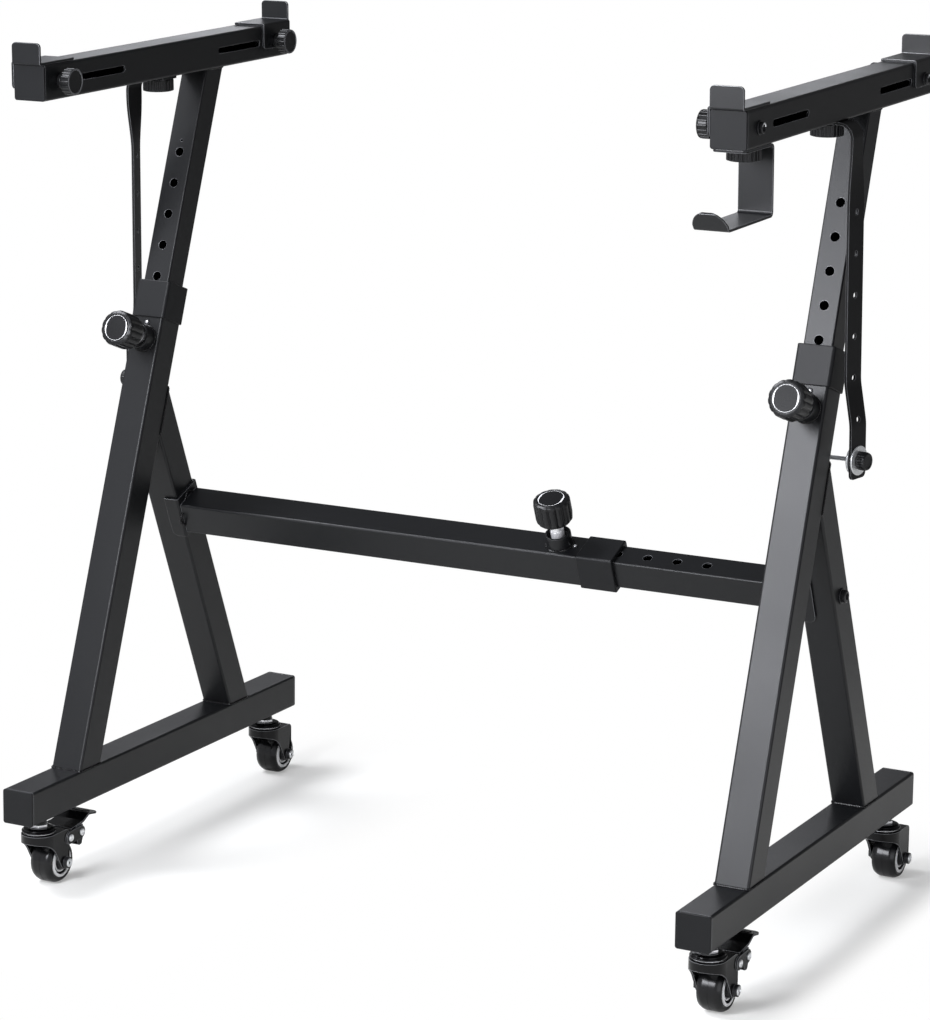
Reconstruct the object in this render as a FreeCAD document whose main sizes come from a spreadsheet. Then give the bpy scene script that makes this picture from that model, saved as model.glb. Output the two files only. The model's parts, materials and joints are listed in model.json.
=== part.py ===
import FreeCAD, Part
import Sketcher
import math
import os
from types import SimpleNamespace

# Two-tier steel keyboard stand frame on casters, millimetres and degrees.
# +X is to the right seen from the front, +Y to the back, +Z up, floor at zero.

SIZES = {
    # Square tubes
    "tube_width": 40, "tube_wall": 2.5, "tube_corner": 3,
    "slide_clearance": 0.5, "inner_tube_wall": 2, "inner_tube_corner": 2,
    "cap_flange": 3, "cap_edge": 1, "cap_plug_depth": 14, "cap_plug_wall": 2, "cap_clearance": 0.3, "cap_corner": 3,
    # Side frames
    "frame_half_width": 417, "frame_middle_y": 0.95, "foot_length": 580,
    "leg_start": 172.4, "leg_lean": 19.44, "leg_outer_length": 568.4, "leg_inner_overlap": 101.1,
    "leg_height": 833.7, "brace_start": 155.3, "brace_lean": 23.16,
    # Plastic collars on the outer tubes
    "collar_wall": 2, "collar_length": 44, "collar_lip": 2.5, "collar_edge": 1.25, "collar_corner": 3.5,
    # Adjustment holes and spring pins
    "pin_radius": 5, "hole_clearance": 0.25, "running_clearance": 0.08,
    "leg_pin_height": 501.5, "leg_hole_pitch": 37.5, "leg_hole_count": 7,
    "leg_mark_above": 14, "leg_mark_radius": 1.5,
    "boss_screw_reach": 19.2, "boss_screw_radius": 3.6, "boss_screw_height": 1.4,
    "boss_radius": 15, "boss_height": 18, "boss_edge": 1.5, "neck_radius": 8, "neck_height": 13,
    "neck_sink": 7.5, "neck_socket": 8, "pin_reach": 3.2, "pin_tip_chamfer": 1.2,
    "pull_knob_radius": 21, "pull_knob_height": 32, "pull_knob_face_radius": 17.4,
    "pull_knob_face_rise": 1.5, "pull_knob_edge": 3, "pull_knob_neck_depth": 14,
    "pull_knob_flute_radius": 1.7, "pull_knob_flute_share": 0.35, "pull_knob_flute_count": 14,
    "pull_knob_skirt": 5,
    # Crossbar and its saddles on the braces
    "bar_height": 286.9, "bar_collar_end": 172.9, "bar_overlap": 172.9,
    "bar_pin_x": 99.7, "bar_hole_pitch": 36.1, "bar_hole_count": 7, "bar_first_hole_steps": 1,
    "saddle_sheet": 3, "saddle_below": 24, "saddle_above": 29, "saddle_lap": 16, "saddle_corner": 8,
    "bar_bolt_radius": 4, "bar_bolt_head_radius": 7, "bar_bolt_head_height": 5,
    "bar_washer_radius": 9, "bar_washer_height": 1.6, "bar_nut_radius": 7.5, "bar_nut_height": 6.5,
    "socket_share": 0.5,
    # Arms
    "arm_tilt": 1.54, "arm_length": 520, "arm_setback": 356,
    "arm_slot_near": 66, "arm_slot_far": 160, "arm_slot_height": 7.5,
    # Keyboard stops at the arm ends
    "stop_sheet": 3, "stop_neck_share": 0.8, "stop_reach": 61, "stop_overhang": 5,
    "stop_rise": 21.5, "stop_lip_width": 37, "stop_lip_corner": 5, "stop_wall_drop": 28,
    "stop_bolt_setback": 32, "stop_bolt_radius": 3, "stop_bolt_head_radius": 6,
    "stop_bolt_head_height": 3.5, "stop_ring_radius": 7.5, "stop_ring_height": 1.5,
    "stop_bolt_end": 15,
    "stop_knob_radius": 15, "stop_knob_height": 12, "stop_knob_collar_radius": 9,
    "stop_knob_collar_height": 8, "stop_knob_rib_radius": 1.6, "stop_knob_rib_count": 16,
    "stop_knob_edge": 1.5,
    # Thumb knobs under the arms
    "thumb_knob_radius": 18, "strap_knob_height": 14, "hook_knob_height": 12,
    "thumb_knob_rib_radius": 1.3, "thumb_knob_rib_count": 24, "thumb_knob_edge": 1.5,
    "stud_radius": 3, "stud_length": 16, "stud_sink": 6,
    # Straps and the pegs that hold their lower ends
    "strap_setback": 259, "strap_width": 29, "strap_sheet": 3, "strap_inner_reach": 16,
    "strap_offset": 34, "strap_bend": 15.5, "strap_drop": 362.7, "strap_tail": 20,
    "strap_jog": 7.5, "strap_jog_top": 84, "strap_jog_end": 40, "strap_jog_bend": 60,
    "strap_hole_radius": 3.25, "strap_hole_pitch": 44.5, "strap_hole_count": 7, "strap_corner": 6,
    "peg_radius": 2.4, "peg_lug_sheet": 3, "peg_lug_radius": 7, "peg_washer_radius": 16,
    "peg_washer_sheet": 2, "peg_gap": 0.3, "peg_cap_radius": 10, "peg_cap_height": 12.5,
    # Headphone hook
    "hook_width": 38, "hook_sheet": 3, "hook_front": 3, "hook_back": 73, "hook_drop": 74,
    "hook_floor_front": -37, "hook_lip": 22, "hook_lip_lean": 34, "hook_arch": 15, "hook_bend": 4.5,
    "hook_knob_setback": 40, "hook_tab_corner": 5,
    # Casters
    "caster_setback": 41.5, "axle_trail": 24.5, "axle_drop": 59, "wheel_radius": 25,
    "tyre_width": 24, "tyre_crown": 7, "rim_radius": 17.5, "rim_width": 21, "rim_wall": 2.5,
    "disc_width": 12, "hub_radius": 9, "hub_clearance": 0.4, "axle_radius": 4,
    "axle_head_radius": 6.5, "axle_head_height": 4, "yoke_radius": 20.5, "yoke_sheet": 2.5,
    "yoke_top_drop": 20, "yoke_back": 33.5, "yoke_front_drop": 28.5, "yoke_sweep_y": -2,
    "yoke_sweep_drop": 33, "yoke_sweep_bend": 30, "yoke_boss_radius": 7, "yoke_back_corner": 6,
    "stem_radius": 5, "stem_rise": 14, "stem_nut_radius": 9.5, "stem_nut_height": 8,
    "bush_radius": 9, "bush_height": 9, "ring_radius": 11, "ring_height": 3.5,
    "race_radius": 20, "race_top_radius": 14, "race_gap": 0.4, "race_rim": 3,
    "stem_head_radius": 9, "stem_head_height": 3,
    # Brakes on the front casters
    "link_radius": 7.5, "link_sheet": 2, "link_front_y": 31, "link_front_drop": 31.5,
    "pedal_pivot_y": 53, "pedal_pivot_drop": 30.5, "rivet_radius": 3.6, "rivet_height": 1.4,
    "pivot_radius": 3, "pedal_hub_radius": 6.5, "pedal_side_gap": 0.4, "cam_drop": 12.3,
    "cam_radius": 3.5, "pedal_sheet": 2.5, "pedal_width": 38, "pedal_front_y": 38,
    "pedal_front_drop": 24, "pedal_step_y": 62, "pedal_step_drop": 21, "pedal_shelf_y": 74,
    "pedal_shelf_drop": 15, "pedal_tip_y": 94, "pedal_tip_drop": 18.5, "pedal_bend": 6,
    "pedal_web_half": 5, "pedal_tip_corner": 8,
    # One overrun serves every cut that passes through
    "overrun": 5,
}

doc = FreeCAD.newDocument("KeyboardStand")
sheet = doc.addObject("Spreadsheet::Sheet", "Sizes")
for row, (alias, number) in enumerate(SIZES.items(), start=1):
    sheet.set("A%d" % row, alias)
    sheet.set("B%d" % row, str(number))
    sheet.setAlias("B%d" % row, alias)
doc.recompute()
v = SimpleNamespace(**{alias: float(sheet.get(alias)) for alias in SIZES})

X_AXIS = FreeCAD.Vector(1, 0, 0)
Y_AXIS = FreeCAD.Vector(0, 1, 0)
Z_AXIS = FreeCAD.Vector(0, 0, 1)
SIDES = {"left": -1, "right": 1}

# Sizes that follow from the driving ones
half_tube = v.tube_width / 2
tube_bore = v.tube_width - 2 * v.tube_wall
inner_width = tube_bore - 2 * v.slide_clearance
half_inner = inner_width / 2
inner_bore = inner_width - 2 * v.inner_tube_wall
foot_underside = v.axle_drop + v.wheel_radius
foot_top = foot_underside + v.tube_width
caster_y = v.foot_length / 2 - v.caster_setback
leg_sine = math.sin(math.radians(v.leg_lean))
leg_cosine = math.cos(math.radians(v.leg_lean))
brace_sine = math.sin(math.radians(v.brace_lean))
brace_cosine = math.cos(math.radians(v.brace_lean))
arm_sine = math.sin(math.radians(v.arm_tilt))
arm_cosine = math.cos(math.radians(v.arm_tilt))
arm_front_y = v.frame_middle_y - v.leg_start + v.leg_height * leg_sine - v.arm_setback * arm_cosine
arm_underside = foot_top + v.leg_height * leg_cosine - v.arm_setback * arm_sine


def bind(target, **formulas):
    """Tie properties to cells of the sheet; the cells are written as Sizes.name."""
    for name, formula in formulas.items():
        target.setExpression(name.replace("__", "."), formula)


def turn(axis, angle):
    return FreeCAD.Placement(FreeCAD.Vector(), FreeCAD.Rotation(axis, angle))


def shift(x=0.0, y=0.0, z=0.0):
    return FreeCAD.Placement(FreeCAD.Vector(x, y, z), FreeCAD.Rotation())


# Frames of reference: each piece is drawn in the frame of the tube that carries it
def foot_frame(side):
    return shift(side * v.frame_half_width, v.frame_middle_y, foot_underside + half_tube)


def leg_frame(side):
    origin = shift(side * v.frame_half_width, v.frame_middle_y - v.leg_start, foot_top)
    return origin * turn(X_AXIS, -v.leg_lean)


def brace_frame(side):
    origin = shift(side * v.frame_half_width, v.frame_middle_y + v.brace_start, foot_top)
    return origin * turn(X_AXIS, v.brace_lean)


def bar_frame():
    y = v.frame_middle_y + v.brace_start - v.bar_height * brace_sine
    z = foot_top + v.bar_height * brace_cosine
    return shift(0, y, z) * turn(X_AXIS, v.brace_lean)


def arm_frame(side):
    return shift(side * v.frame_half_width, arm_front_y, arm_underside) * turn(X_AXIS, v.arm_tilt)


def caster_frame(side, end):
    return shift(side * v.frame_half_width, v.frame_middle_y + end * caster_y, foot_underside)


def leg_pin_frame(side):
    return leg_frame(side) * shift(0, 0, v.leg_pin_height) * turn(X_AXIS, 90)


def bar_pin_frame():
    return bar_frame() * shift(v.bar_pin_x, 0, 0)


# Drawing helpers
def new_body(name):
    return doc.addObject("PartDesign::Body", name)


def new_sketch(body, role, lift=0.0):
    sketch = body.newObject("Sketcher::SketchObject", body.Name + "Sketch")
    plane = next(item for item in body.Origin.OriginFeatures if item.Role == role)
    sketch.AttachmentSupport = [(plane, "")]
    sketch.MapMode = "FlatFace"
    sketch.AttachmentOffset = shift(z=lift)
    return sketch


def draw_outline(sketch, corners):
    """Closed outline through corners (x, y, radius), with an arc at each radius."""
    points = [FreeCAD.Vector(x, y, 0) for x, y, radius in corners]
    starts, ends = [], []
    for index, point in enumerate(points):
        radius = corners[index][2]
        to_last = (points[index - 1] - point).normalize()
        to_next = (points[(index + 1) % len(points)] - point).normalize()
        if radius <= 0:
            starts.append(point)
            ends.append(point)
            continue
        half = to_last.getAngle(to_next) / 2
        reach = radius / math.tan(half)
        centre = point + (to_last + to_next).normalize() * (radius / math.sin(half))
        first, last = point + to_last * reach, point + to_next * reach
        if to_last.cross(to_next).z > 0:
            first_spoke, last_spoke = last - centre, first - centre
        else:
            first_spoke, last_spoke = first - centre, last - centre
        circle = Part.Circle(centre, Z_AXIS, radius)
        first_angle = math.atan2(first_spoke.y, first_spoke.x)
        last_angle = math.atan2(last_spoke.y, last_spoke.x)
        sketch.addGeometry(Part.ArcOfCircle(circle, first_angle, last_angle), False)
        starts.append(first)
        ends.append(last)
    for index, start in enumerate(starts):
        if (start - ends[index - 1]).Length > 1e-6:
            sketch.addGeometry(Part.LineSegment(ends[index - 1], start), False)


def draw_square(sketch, width, corner):
    half = width / 2
    draw_outline(sketch, [(-half, -half, corner), (half, -half, corner),
                          (half, half, corner), (-half, half, corner)])


def draw_circle(sketch, radius, x="0", y="0"):
    """Circle whose radius and centre follow formulas of the sheet."""
    index = sketch.addGeometry(Part.Circle(FreeCAD.Vector(), Z_AXIS, 1), False)
    for rule, formula in ((("Radius", index, 1.0), radius),
                          (("DistanceX", -1, 1, index, 3, 1.0), x),
                          (("DistanceY", -1, 1, index, 3, 1.0), y)):
        sketch.addConstraint(Sketcher.Constraint(*rule))
        sketch.setExpression("Constraints[%d]" % (sketch.ConstraintCount - 1), formula)


def strip_corners(path, sheet_thickness, bend):
    """Corners of a bent sheet of even thickness along a centre line of points."""
    points = [FreeCAD.Vector(x, y, 0) for x, y in path]
    left, right = [], []
    for index, point in enumerate(points):
        before = (point - points[index - 1]).normalize() if index else None
        after = (points[index + 1] - point).normalize() if index < len(points) - 1 else None
        along = before if after is None else after if before is None else (before + after).normalize()
        normal = FreeCAD.Vector(-along.y, along.x, 0)
        half = sheet_thickness / 2
        if before is None or after is None:
            left.append((point + normal * half, 0))
            right.append((point - normal * half, 0))
            continue
        reach = half / math.cos(before.getAngle(after) / 2)
        bends_left = before.cross(after).z > 0
        left.append((point + normal * reach, bend - half if bends_left else bend + half))
        right.append((point - normal * reach, bend + half if bends_left else bend - half))
    return [(corner.x, corner.y, radius) for corner, radius in left + right[::-1]]


def pad(body, sketch, length, both=False, back=False):
    feature = body.newObject("PartDesign::Pad", body.Name + "Pad")
    feature.Profile = sketch
    feature.Midplane = both
    feature.Reversed = back
    bind(feature, Length=length)
    doc.recompute()
    return feature


def pocket(body, sketch, length, both=False, back=False):
    """Cut a pocket and make sure that it took material away."""
    before = body.Shape.Volume
    feature = body.newObject("PartDesign::Pocket", body.Name + "Pocket")
    feature.Profile = sketch
    feature.Midplane = both
    feature.Reversed = back
    bind(feature, Length=length)
    doc.recompute()
    if not body.Shape.Volume < before:
        raise ValueError("A pocket in %s cuts nothing" % body.Name)
    return feature


def revolve(body, sketch, axis):
    feature = body.newObject("PartDesign::Revolution", body.Name + "Revolution")
    feature.Profile = sketch
    feature.ReferenceAxis = (sketch, [axis])
    feature.Angle = 360
    doc.recompute()
    return feature


def repeat_round(body, feature, sketch, count):
    pattern = body.newObject("PartDesign::PolarPattern", body.Name + "Pattern")
    pattern.Originals = [feature]
    pattern.Axis = (sketch, ["N_Axis"])
    pattern.Angle = 360
    bind(pattern, Occurrences=count)
    body.Tip = pattern
    doc.recompute()


def repeat_along(body, feature, sketch, axis, length, count, back=False):
    pattern = body.newObject("PartDesign::LinearPattern", body.Name + "Pattern")
    pattern.Originals = [feature]
    pattern.Direction = (sketch, [axis])
    pattern.Reversed = back
    bind(pattern, Length=length, Occurrences=count)
    body.Tip = pattern
    doc.recompute()


def fillet_edges(body, radius, chosen):
    """Round the edges of the body's last feature that the given test picks."""
    tip = body.Tip
    names = ["Edge%d" % (index + 1) for index, edge in enumerate(tip.Shape.Edges) if chosen(edge)]
    feature = body.newObject("PartDesign::Fillet", body.Name + "Fillet")
    feature.Base = (tip, names)
    bind(feature, Radius=radius)
    doc.recompute()
    return feature


def box(name, sizes, corner):
    """Box of given length, width and height formulas; the corner is a point."""
    item = doc.addObject("Part::Box", name)
    bind(item, Length=sizes[0], Width=sizes[1], Height=sizes[2])
    item.Placement = shift(*corner)
    return item


def rod(name, radius, height, place=None):
    """Cylinder along its own Z axis with radius and height formulas."""
    item = doc.addObject("Part::Cylinder", name)
    bind(item, Radius=radius, Height=height)
    item.Placement = place or shift()
    return item


def hexagon(name, radius, height, place=None):
    item = doc.addObject("Part::Prism", name)
    item.Polygon = 6
    bind(item, Circumradius=radius, Height=height)
    item.Placement = place or shift()
    return item


def cut(name, base, *tools):
    item = doc.addObject("Part::Cut", name)
    item.Base = base
    item.Tool = tools[0] if len(tools) == 1 else join(name + "Tools", *tools)
    return item


def join(name, *pieces):
    item = doc.addObject("Part::MultiFuse", name)
    item.Shapes = list(pieces)
    return item


def group(name, *pieces):
    item = doc.addObject("Part::Compound", name)
    item.Links = list(pieces)
    return item


def common(name, first, second):
    item = doc.addObject("Part::Common", name)
    item.Base = first
    item.Tool = second
    return item


nodes = []


def node(label, item, place):
    """Name a finished sub-part and put it in its place on the stand."""
    item.Label = label
    item.Placement = place * item.Placement
    nodes.append(item)


# Square tubes and their ends
def square_tube(name, role, width, bore, corner, length, both=False, back=False):
    body = new_body(name)
    sketch = new_sketch(body, role)
    draw_square(sketch, width, corner)
    draw_square(sketch, bore, 0)
    pad(body, sketch, length, both, back)
    return body


def end_cap(name):
    """Plastic cap: a flange as wide as the tube with a hollow plug, along +Y inward."""
    body = new_body(name)
    flange = new_sketch(body, "XZ_Plane")
    draw_square(flange, v.tube_width, v.cap_corner)
    pad(body, flange, "Sizes.cap_flange")
    plug_width = tube_bore - 2 * v.cap_clearance
    plug = new_sketch(body, "XZ_Plane")
    draw_square(plug, plug_width, 0)
    draw_square(plug, plug_width - 2 * v.cap_plug_wall, 0)
    pad(body, plug, "Sizes.cap_plug_depth", back=True)
    front = -v.cap_flange
    fillet_edges(body, "Sizes.cap_edge",
                 lambda edge: abs(edge.BoundBox.YMin - front) + abs(edge.BoundBox.YMax - front) < 1e-6)
    return body


def end_caps(label, place, length):
    """A pair of caps for a tube along Y whose middle is at the given place."""
    front = end_cap(label.replace("_", "") + "Front")
    front.Placement = shift(y=v.cap_flange - length / 2)
    back = end_cap(label.replace("_", "") + "Back")
    back.Placement = shift(y=length / 2 - v.cap_flange) * turn(Z_AXIS, 180)
    node(label, group(label.replace("_", "") + "Pair", front, back), place)


def foot(name, side):
    """Foot tube with the two stem holes through its bottom wall."""
    tube = square_tube(name + "FootTube", "XZ_Plane", v.tube_width, tube_bore, v.tube_corner,
                       "Sizes.foot_length - 2 * Sizes.cap_flange", both=True)
    holes = new_sketch(tube, "XY_Plane")
    place = "Sizes.foot_length / 2 - Sizes.caster_setback"
    draw_circle(holes, "Sizes.stem_radius + Sizes.hole_clearance", y=place)
    draw_circle(holes, "Sizes.stem_radius + Sizes.hole_clearance", y="-(%s)" % place)
    pocket(tube, holes, "Sizes.tube_width")
    node(name + "_foot_tube", tube, foot_frame(side))
    end_caps(name + "_foot_end_caps", foot_frame(side), v.foot_length)


def below_foot_top(name, carrier):
    """Block of space under the foot's top face, in a leaning tube's own frame."""
    reach = 4 * v.tube_width
    block = doc.addObject("Part::Box", name)
    bind(block, Length="8 * Sizes.tube_width", Width="8 * Sizes.tube_width",
         Height="4 * Sizes.tube_width")
    origin = FreeCAD.Placement(carrier.Base, FreeCAD.Rotation())
    block.Placement = carrier.inverse() * origin * shift(-reach, -reach, -reach)
    return block


def leg(name, side):
    """Leaning outer leg tube, mitred onto the foot, with the pin hole in its front wall."""
    extra = v.tube_width * leg_sine
    blank = square_tube(name + "LegBlank", "XY_Plane", v.tube_width, tube_bore, v.tube_corner,
                        "Sizes.leg_outer_length + Sizes.tube_width * sin(Sizes.leg_lean)")
    blank.Placement = shift(z=-extra)
    pin_hole = rod(name + "LegPinHole", "Sizes.pin_radius + Sizes.running_clearance",
                   "Sizes.tube_width", shift(z=v.leg_pin_height) * turn(X_AXIS, 90))
    item = cut(name + "Leg", blank, below_foot_top(name + "LegFloor", leg_frame(side)), pin_hole)
    node(name + "_leg_outer_tube", item, leg_frame(side))


def brace(name, side):
    """Leaning rear tube, mitred onto the foot and against the back of the leg."""
    extra = v.tube_width * brace_sine
    blank = square_tube(name + "BraceBlank", "XY_Plane", v.tube_width, tube_bore, v.tube_corner,
                        "Sizes.leg_outer_length + Sizes.tube_width")
    blank.Placement = shift(z=-extra)
    in_front = box(name + "BraceFront", ("4 * Sizes.tube_width", "Sizes.leg_outer_length",
                                         "2 * Sizes.leg_outer_length"),
                   (-2 * v.tube_width, half_tube - v.leg_outer_length, 0))
    in_front.Placement = brace_frame(side).inverse() * leg_frame(side) * in_front.Placement
    across = turn(Y_AXIS, 90)
    bolt_hole = rod(name + "BraceHole", "Sizes.bar_bolt_radius + Sizes.hole_clearance",
                    "2 * Sizes.tube_width", shift(-v.tube_width, 0, v.bar_height) * across)
    item = cut(name + "Brace", blank, below_foot_top(name + "BraceFloor", brace_frame(side)),
               in_front, bolt_hole)
    node(name + "_rear_brace", item, brace_frame(side))


def collar(name):
    """Sleeve on the end of an outer tube, with a lip that guides the inner tube, along +Z."""
    body = new_body(name)
    sleeve = new_sketch(body, "XY_Plane")
    draw_square(sleeve, v.tube_width + 2 * v.collar_wall, v.collar_corner)
    draw_square(sleeve, v.tube_width, 0)
    pad(body, sleeve, "Sizes.collar_length - Sizes.collar_lip", back=True)
    lip = new_sketch(body, "XY_Plane")
    draw_square(lip, v.tube_width + 2 * v.collar_wall, v.collar_corner)
    draw_square(lip, inner_width + v.slide_clearance, 0)
    pad(body, lip, "Sizes.collar_lip")
    top = v.collar_lip
    half = half_tube + v.collar_wall
    fillet_edges(body, "Sizes.collar_edge", lambda edge: edge.BoundBox.ZMin > top - 1e-6
                 and max(edge.BoundBox.XMax, -edge.BoundBox.XMin,
                         edge.BoundBox.YMax, -edge.BoundBox.YMin) > half - 1e-6)
    return body


def pin_boss(name):
    """Round boss on the face of an outer tube, bored for the pin and the neck, along +Z."""
    body = new_body(name)
    outline = new_sketch(body, "YZ_Plane")
    top = half_tube + v.boss_height
    pin_bore = v.pin_radius + v.running_clearance
    neck_bore = v.neck_radius + v.running_clearance
    draw_outline(outline, [(pin_bore, half_tube, 0), (v.boss_radius, half_tube, 0),
                           (v.boss_radius, top, v.boss_edge), (neck_bore, top, 0),
                           (neck_bore, top - v.neck_socket, 0), (pin_bore, top - v.neck_socket, 0)])
    revolve(body, outline, "V_Axis")
    return body


def plunger(label, place):
    """Spring pin: the steel pin that locks the inner tube and the neck that carries the knob."""
    body = new_body(label.replace("_", ""))
    outline = new_sketch(body, "YZ_Plane")
    tip = half_inner - v.inner_tube_wall - v.pin_reach
    step = half_tube + v.boss_height - v.neck_sink
    end = half_tube + v.boss_height + v.neck_height + v.pull_knob_neck_depth
    draw_outline(outline, [(0, tip, 0), (v.pin_radius - v.pin_tip_chamfer, tip, 0),
                           (v.pin_radius, tip + v.pin_tip_chamfer, 0), (v.pin_radius, step, 0),
                           (v.neck_radius, step, 0), (v.neck_radius, end, 0), (0, end, 0)])
    revolve(body, outline, "V_Axis")
    node(label, body, place)


def pull_knob(label, place):
    """Fluted knob with a raised round face, bored to sit on the neck."""
    body = new_body(label.replace("_", ""))
    outline = new_sketch(body, "YZ_Plane")
    bottom = half_tube + v.boss_height + v.neck_height
    top = bottom + v.pull_knob_height
    shoulder = top - v.pull_knob_face_rise
    bore = v.neck_radius + v.running_clearance
    bore_end = bottom + v.pull_knob_neck_depth + v.running_clearance
    draw_outline(outline, [(bore, bottom, 0), (v.pull_knob_face_radius, bottom, 0),
                           (v.pull_knob_radius, bottom + v.pull_knob_skirt, v.pull_knob_edge),
                           (v.pull_knob_radius, shoulder, v.pull_knob_edge),
                           (v.pull_knob_face_radius, shoulder, 0), (v.pull_knob_face_radius, top, 0),
                           (0, top, 0), (0, bore_end, 0), (bore, bore_end, 0)])
    revolve(body, outline, "V_Axis")
    flute = new_sketch(body, "XY_Plane", lift=bottom)
    draw_circle(flute, "Sizes.pull_knob_flute_radius",
                "Sizes.pull_knob_radius + Sizes.pull_knob_flute_radius * Sizes.pull_knob_flute_share")
    first = pocket(body, flute, "Sizes.pull_knob_height", back=True)
    repeat_round(body, first, flute, "Sizes.pull_knob_flute_count")
    node(label, body, place)


# Crossbar
def saddle(name, side):
    """Bent plate around the inside of a brace, which ends the crossbar, in the bar's frame."""
    body = new_body(name)
    plan = new_sketch(body, "XY_Plane", lift=-v.saddle_below)
    inner_face = side * (v.frame_half_width - half_tube)
    web_back = inner_face - side * v.saddle_sheet
    tip = inner_face + side * v.saddle_lap
    outer = half_tube + v.saddle_sheet
    bend = v.saddle_sheet
    draw_outline(plan, [(tip, -outer, 0), (web_back, -outer, bend), (web_back, outer, bend),
                        (tip, outer, 0), (tip, half_tube, 0), (inner_face, half_tube, 0),
                        (inner_face, -half_tube, 0), (tip, -half_tube, 0)])
    pad(body, plan, "Sizes.saddle_below + Sizes.saddle_above")
    low = -v.saddle_below

    def at_tip(edge):
        return abs(edge.BoundBox.XMin - tip) + abs(edge.BoundBox.XMax - tip) < 1e-6

    fillet_edges(body, "Sizes.saddle_corner",
                 lambda edge: at_tip(edge) and abs(edge.BoundBox.YLength - v.saddle_sheet) < 1e-6
                 and edge.BoundBox.ZMax < low + 1e-6)
    return body


def crossbar_outer():
    """Fixed half of the crossbar from the left brace to the collar, with its saddle welded on."""
    start = v.saddle_sheet + half_tube - v.frame_half_width
    tube = square_tube("BarOuterTube", "YZ_Plane", v.tube_width, tube_bore, v.tube_corner,
                       "Sizes.bar_collar_end - Sizes.collar_lip + Sizes.frame_half_width"
                       " - Sizes.tube_width / 2 - Sizes.saddle_sheet")
    tube.Placement = shift(x=start)
    pin_hole = rod("BarPinHole", "Sizes.pin_radius + Sizes.running_clearance", "Sizes.tube_width",
                   shift(x=v.bar_pin_x))
    bolt_hole = rod("BarLeftBoltHole", "Sizes.bar_bolt_radius + Sizes.hole_clearance",
                    "2 * Sizes.tube_width", shift(x=start - v.tube_width) * turn(Y_AXIS, 90))
    welded = join("BarOuterWelded", tube, saddle("BarLeftSaddle", -1))
    node("crossbar_outer_tube", cut("BarOuter", welded, pin_hole, bolt_hole), bar_frame())


def crossbar_inner():
    """Sliding half of the crossbar with its row of pin holes and its saddle welded on."""
    end = v.frame_half_width - half_tube - v.saddle_sheet
    start = v.bar_collar_end - v.bar_overlap
    tube = square_tube("BarInnerTube", "YZ_Plane", inner_width, inner_bore, v.inner_tube_corner,
                       "Sizes.frame_half_width - Sizes.tube_width / 2 - Sizes.saddle_sheet"
                       " - Sizes.bar_collar_end + Sizes.bar_overlap")
    tube.Placement = shift(x=start)
    holes = new_sketch(tube, "XY_Plane")
    draw_circle(holes, "Sizes.pin_radius + Sizes.hole_clearance",
                "Sizes.bar_pin_x - Sizes.bar_collar_end + Sizes.bar_overlap"
                " - Sizes.bar_first_hole_steps * Sizes.bar_hole_pitch")
    first = pocket(tube, holes, "Sizes.tube_width", back=True)
    repeat_along(tube, first, holes, "H_Axis",
                 "(Sizes.bar_hole_count - 1) * Sizes.bar_hole_pitch", "Sizes.bar_hole_count")
    bolt_hole = rod("BarRightBoltHole", "Sizes.bar_bolt_radius + Sizes.hole_clearance",
                    "2 * Sizes.tube_width", shift(x=end - v.tube_width) * turn(Y_AXIS, 90))
    welded = join("BarInnerWelded", tube, saddle("BarRightSaddle", 1))
    node("crossbar_inner_tube", cut("BarInner", welded, bolt_hole), bar_frame())


def socket_head(name, radius, height, place):
    """Round head along +Z with a hexagon socket in its end."""
    head = rod(name + "Blank", radius, height)
    socket = hexagon(name + "Socket", "%s * Sizes.socket_share" % radius, height)
    socket.setExpression("Placement.Base.z", "%s / 2" % height)
    item = cut(name, head, socket)
    item.Placement = place
    return item


def bar_bolt(name, side):
    """Bolt from the outside of a brace through the saddle, with washer and nut."""
    outward = turn(Y_AXIS, 90 * side)
    face = side * (v.frame_half_width + half_tube)
    back = side * (v.frame_half_width - half_tube - v.saddle_sheet)
    washer = rod(name + "Washer", "Sizes.bar_washer_radius", "Sizes.bar_washer_height",
                 shift(face) * outward)
    head = socket_head(name + "Head", "Sizes.bar_bolt_head_radius", "Sizes.bar_bolt_head_height",
                       shift(face + side * v.bar_washer_height) * outward)
    shank = rod(name + "Shank", "Sizes.bar_bolt_radius",
                "Sizes.tube_width + Sizes.saddle_sheet + Sizes.bar_washer_height"
                " + Sizes.bar_nut_height", shift(back - side * v.bar_nut_height) * outward)
    nut = hexagon(name + "Nut", "Sizes.bar_nut_radius", "Sizes.bar_nut_height",
                  shift(back - side * v.bar_nut_height) * outward)
    item = join(name, washer, head, shank, nut)
    item.Placement = bar_frame()
    return item


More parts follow.
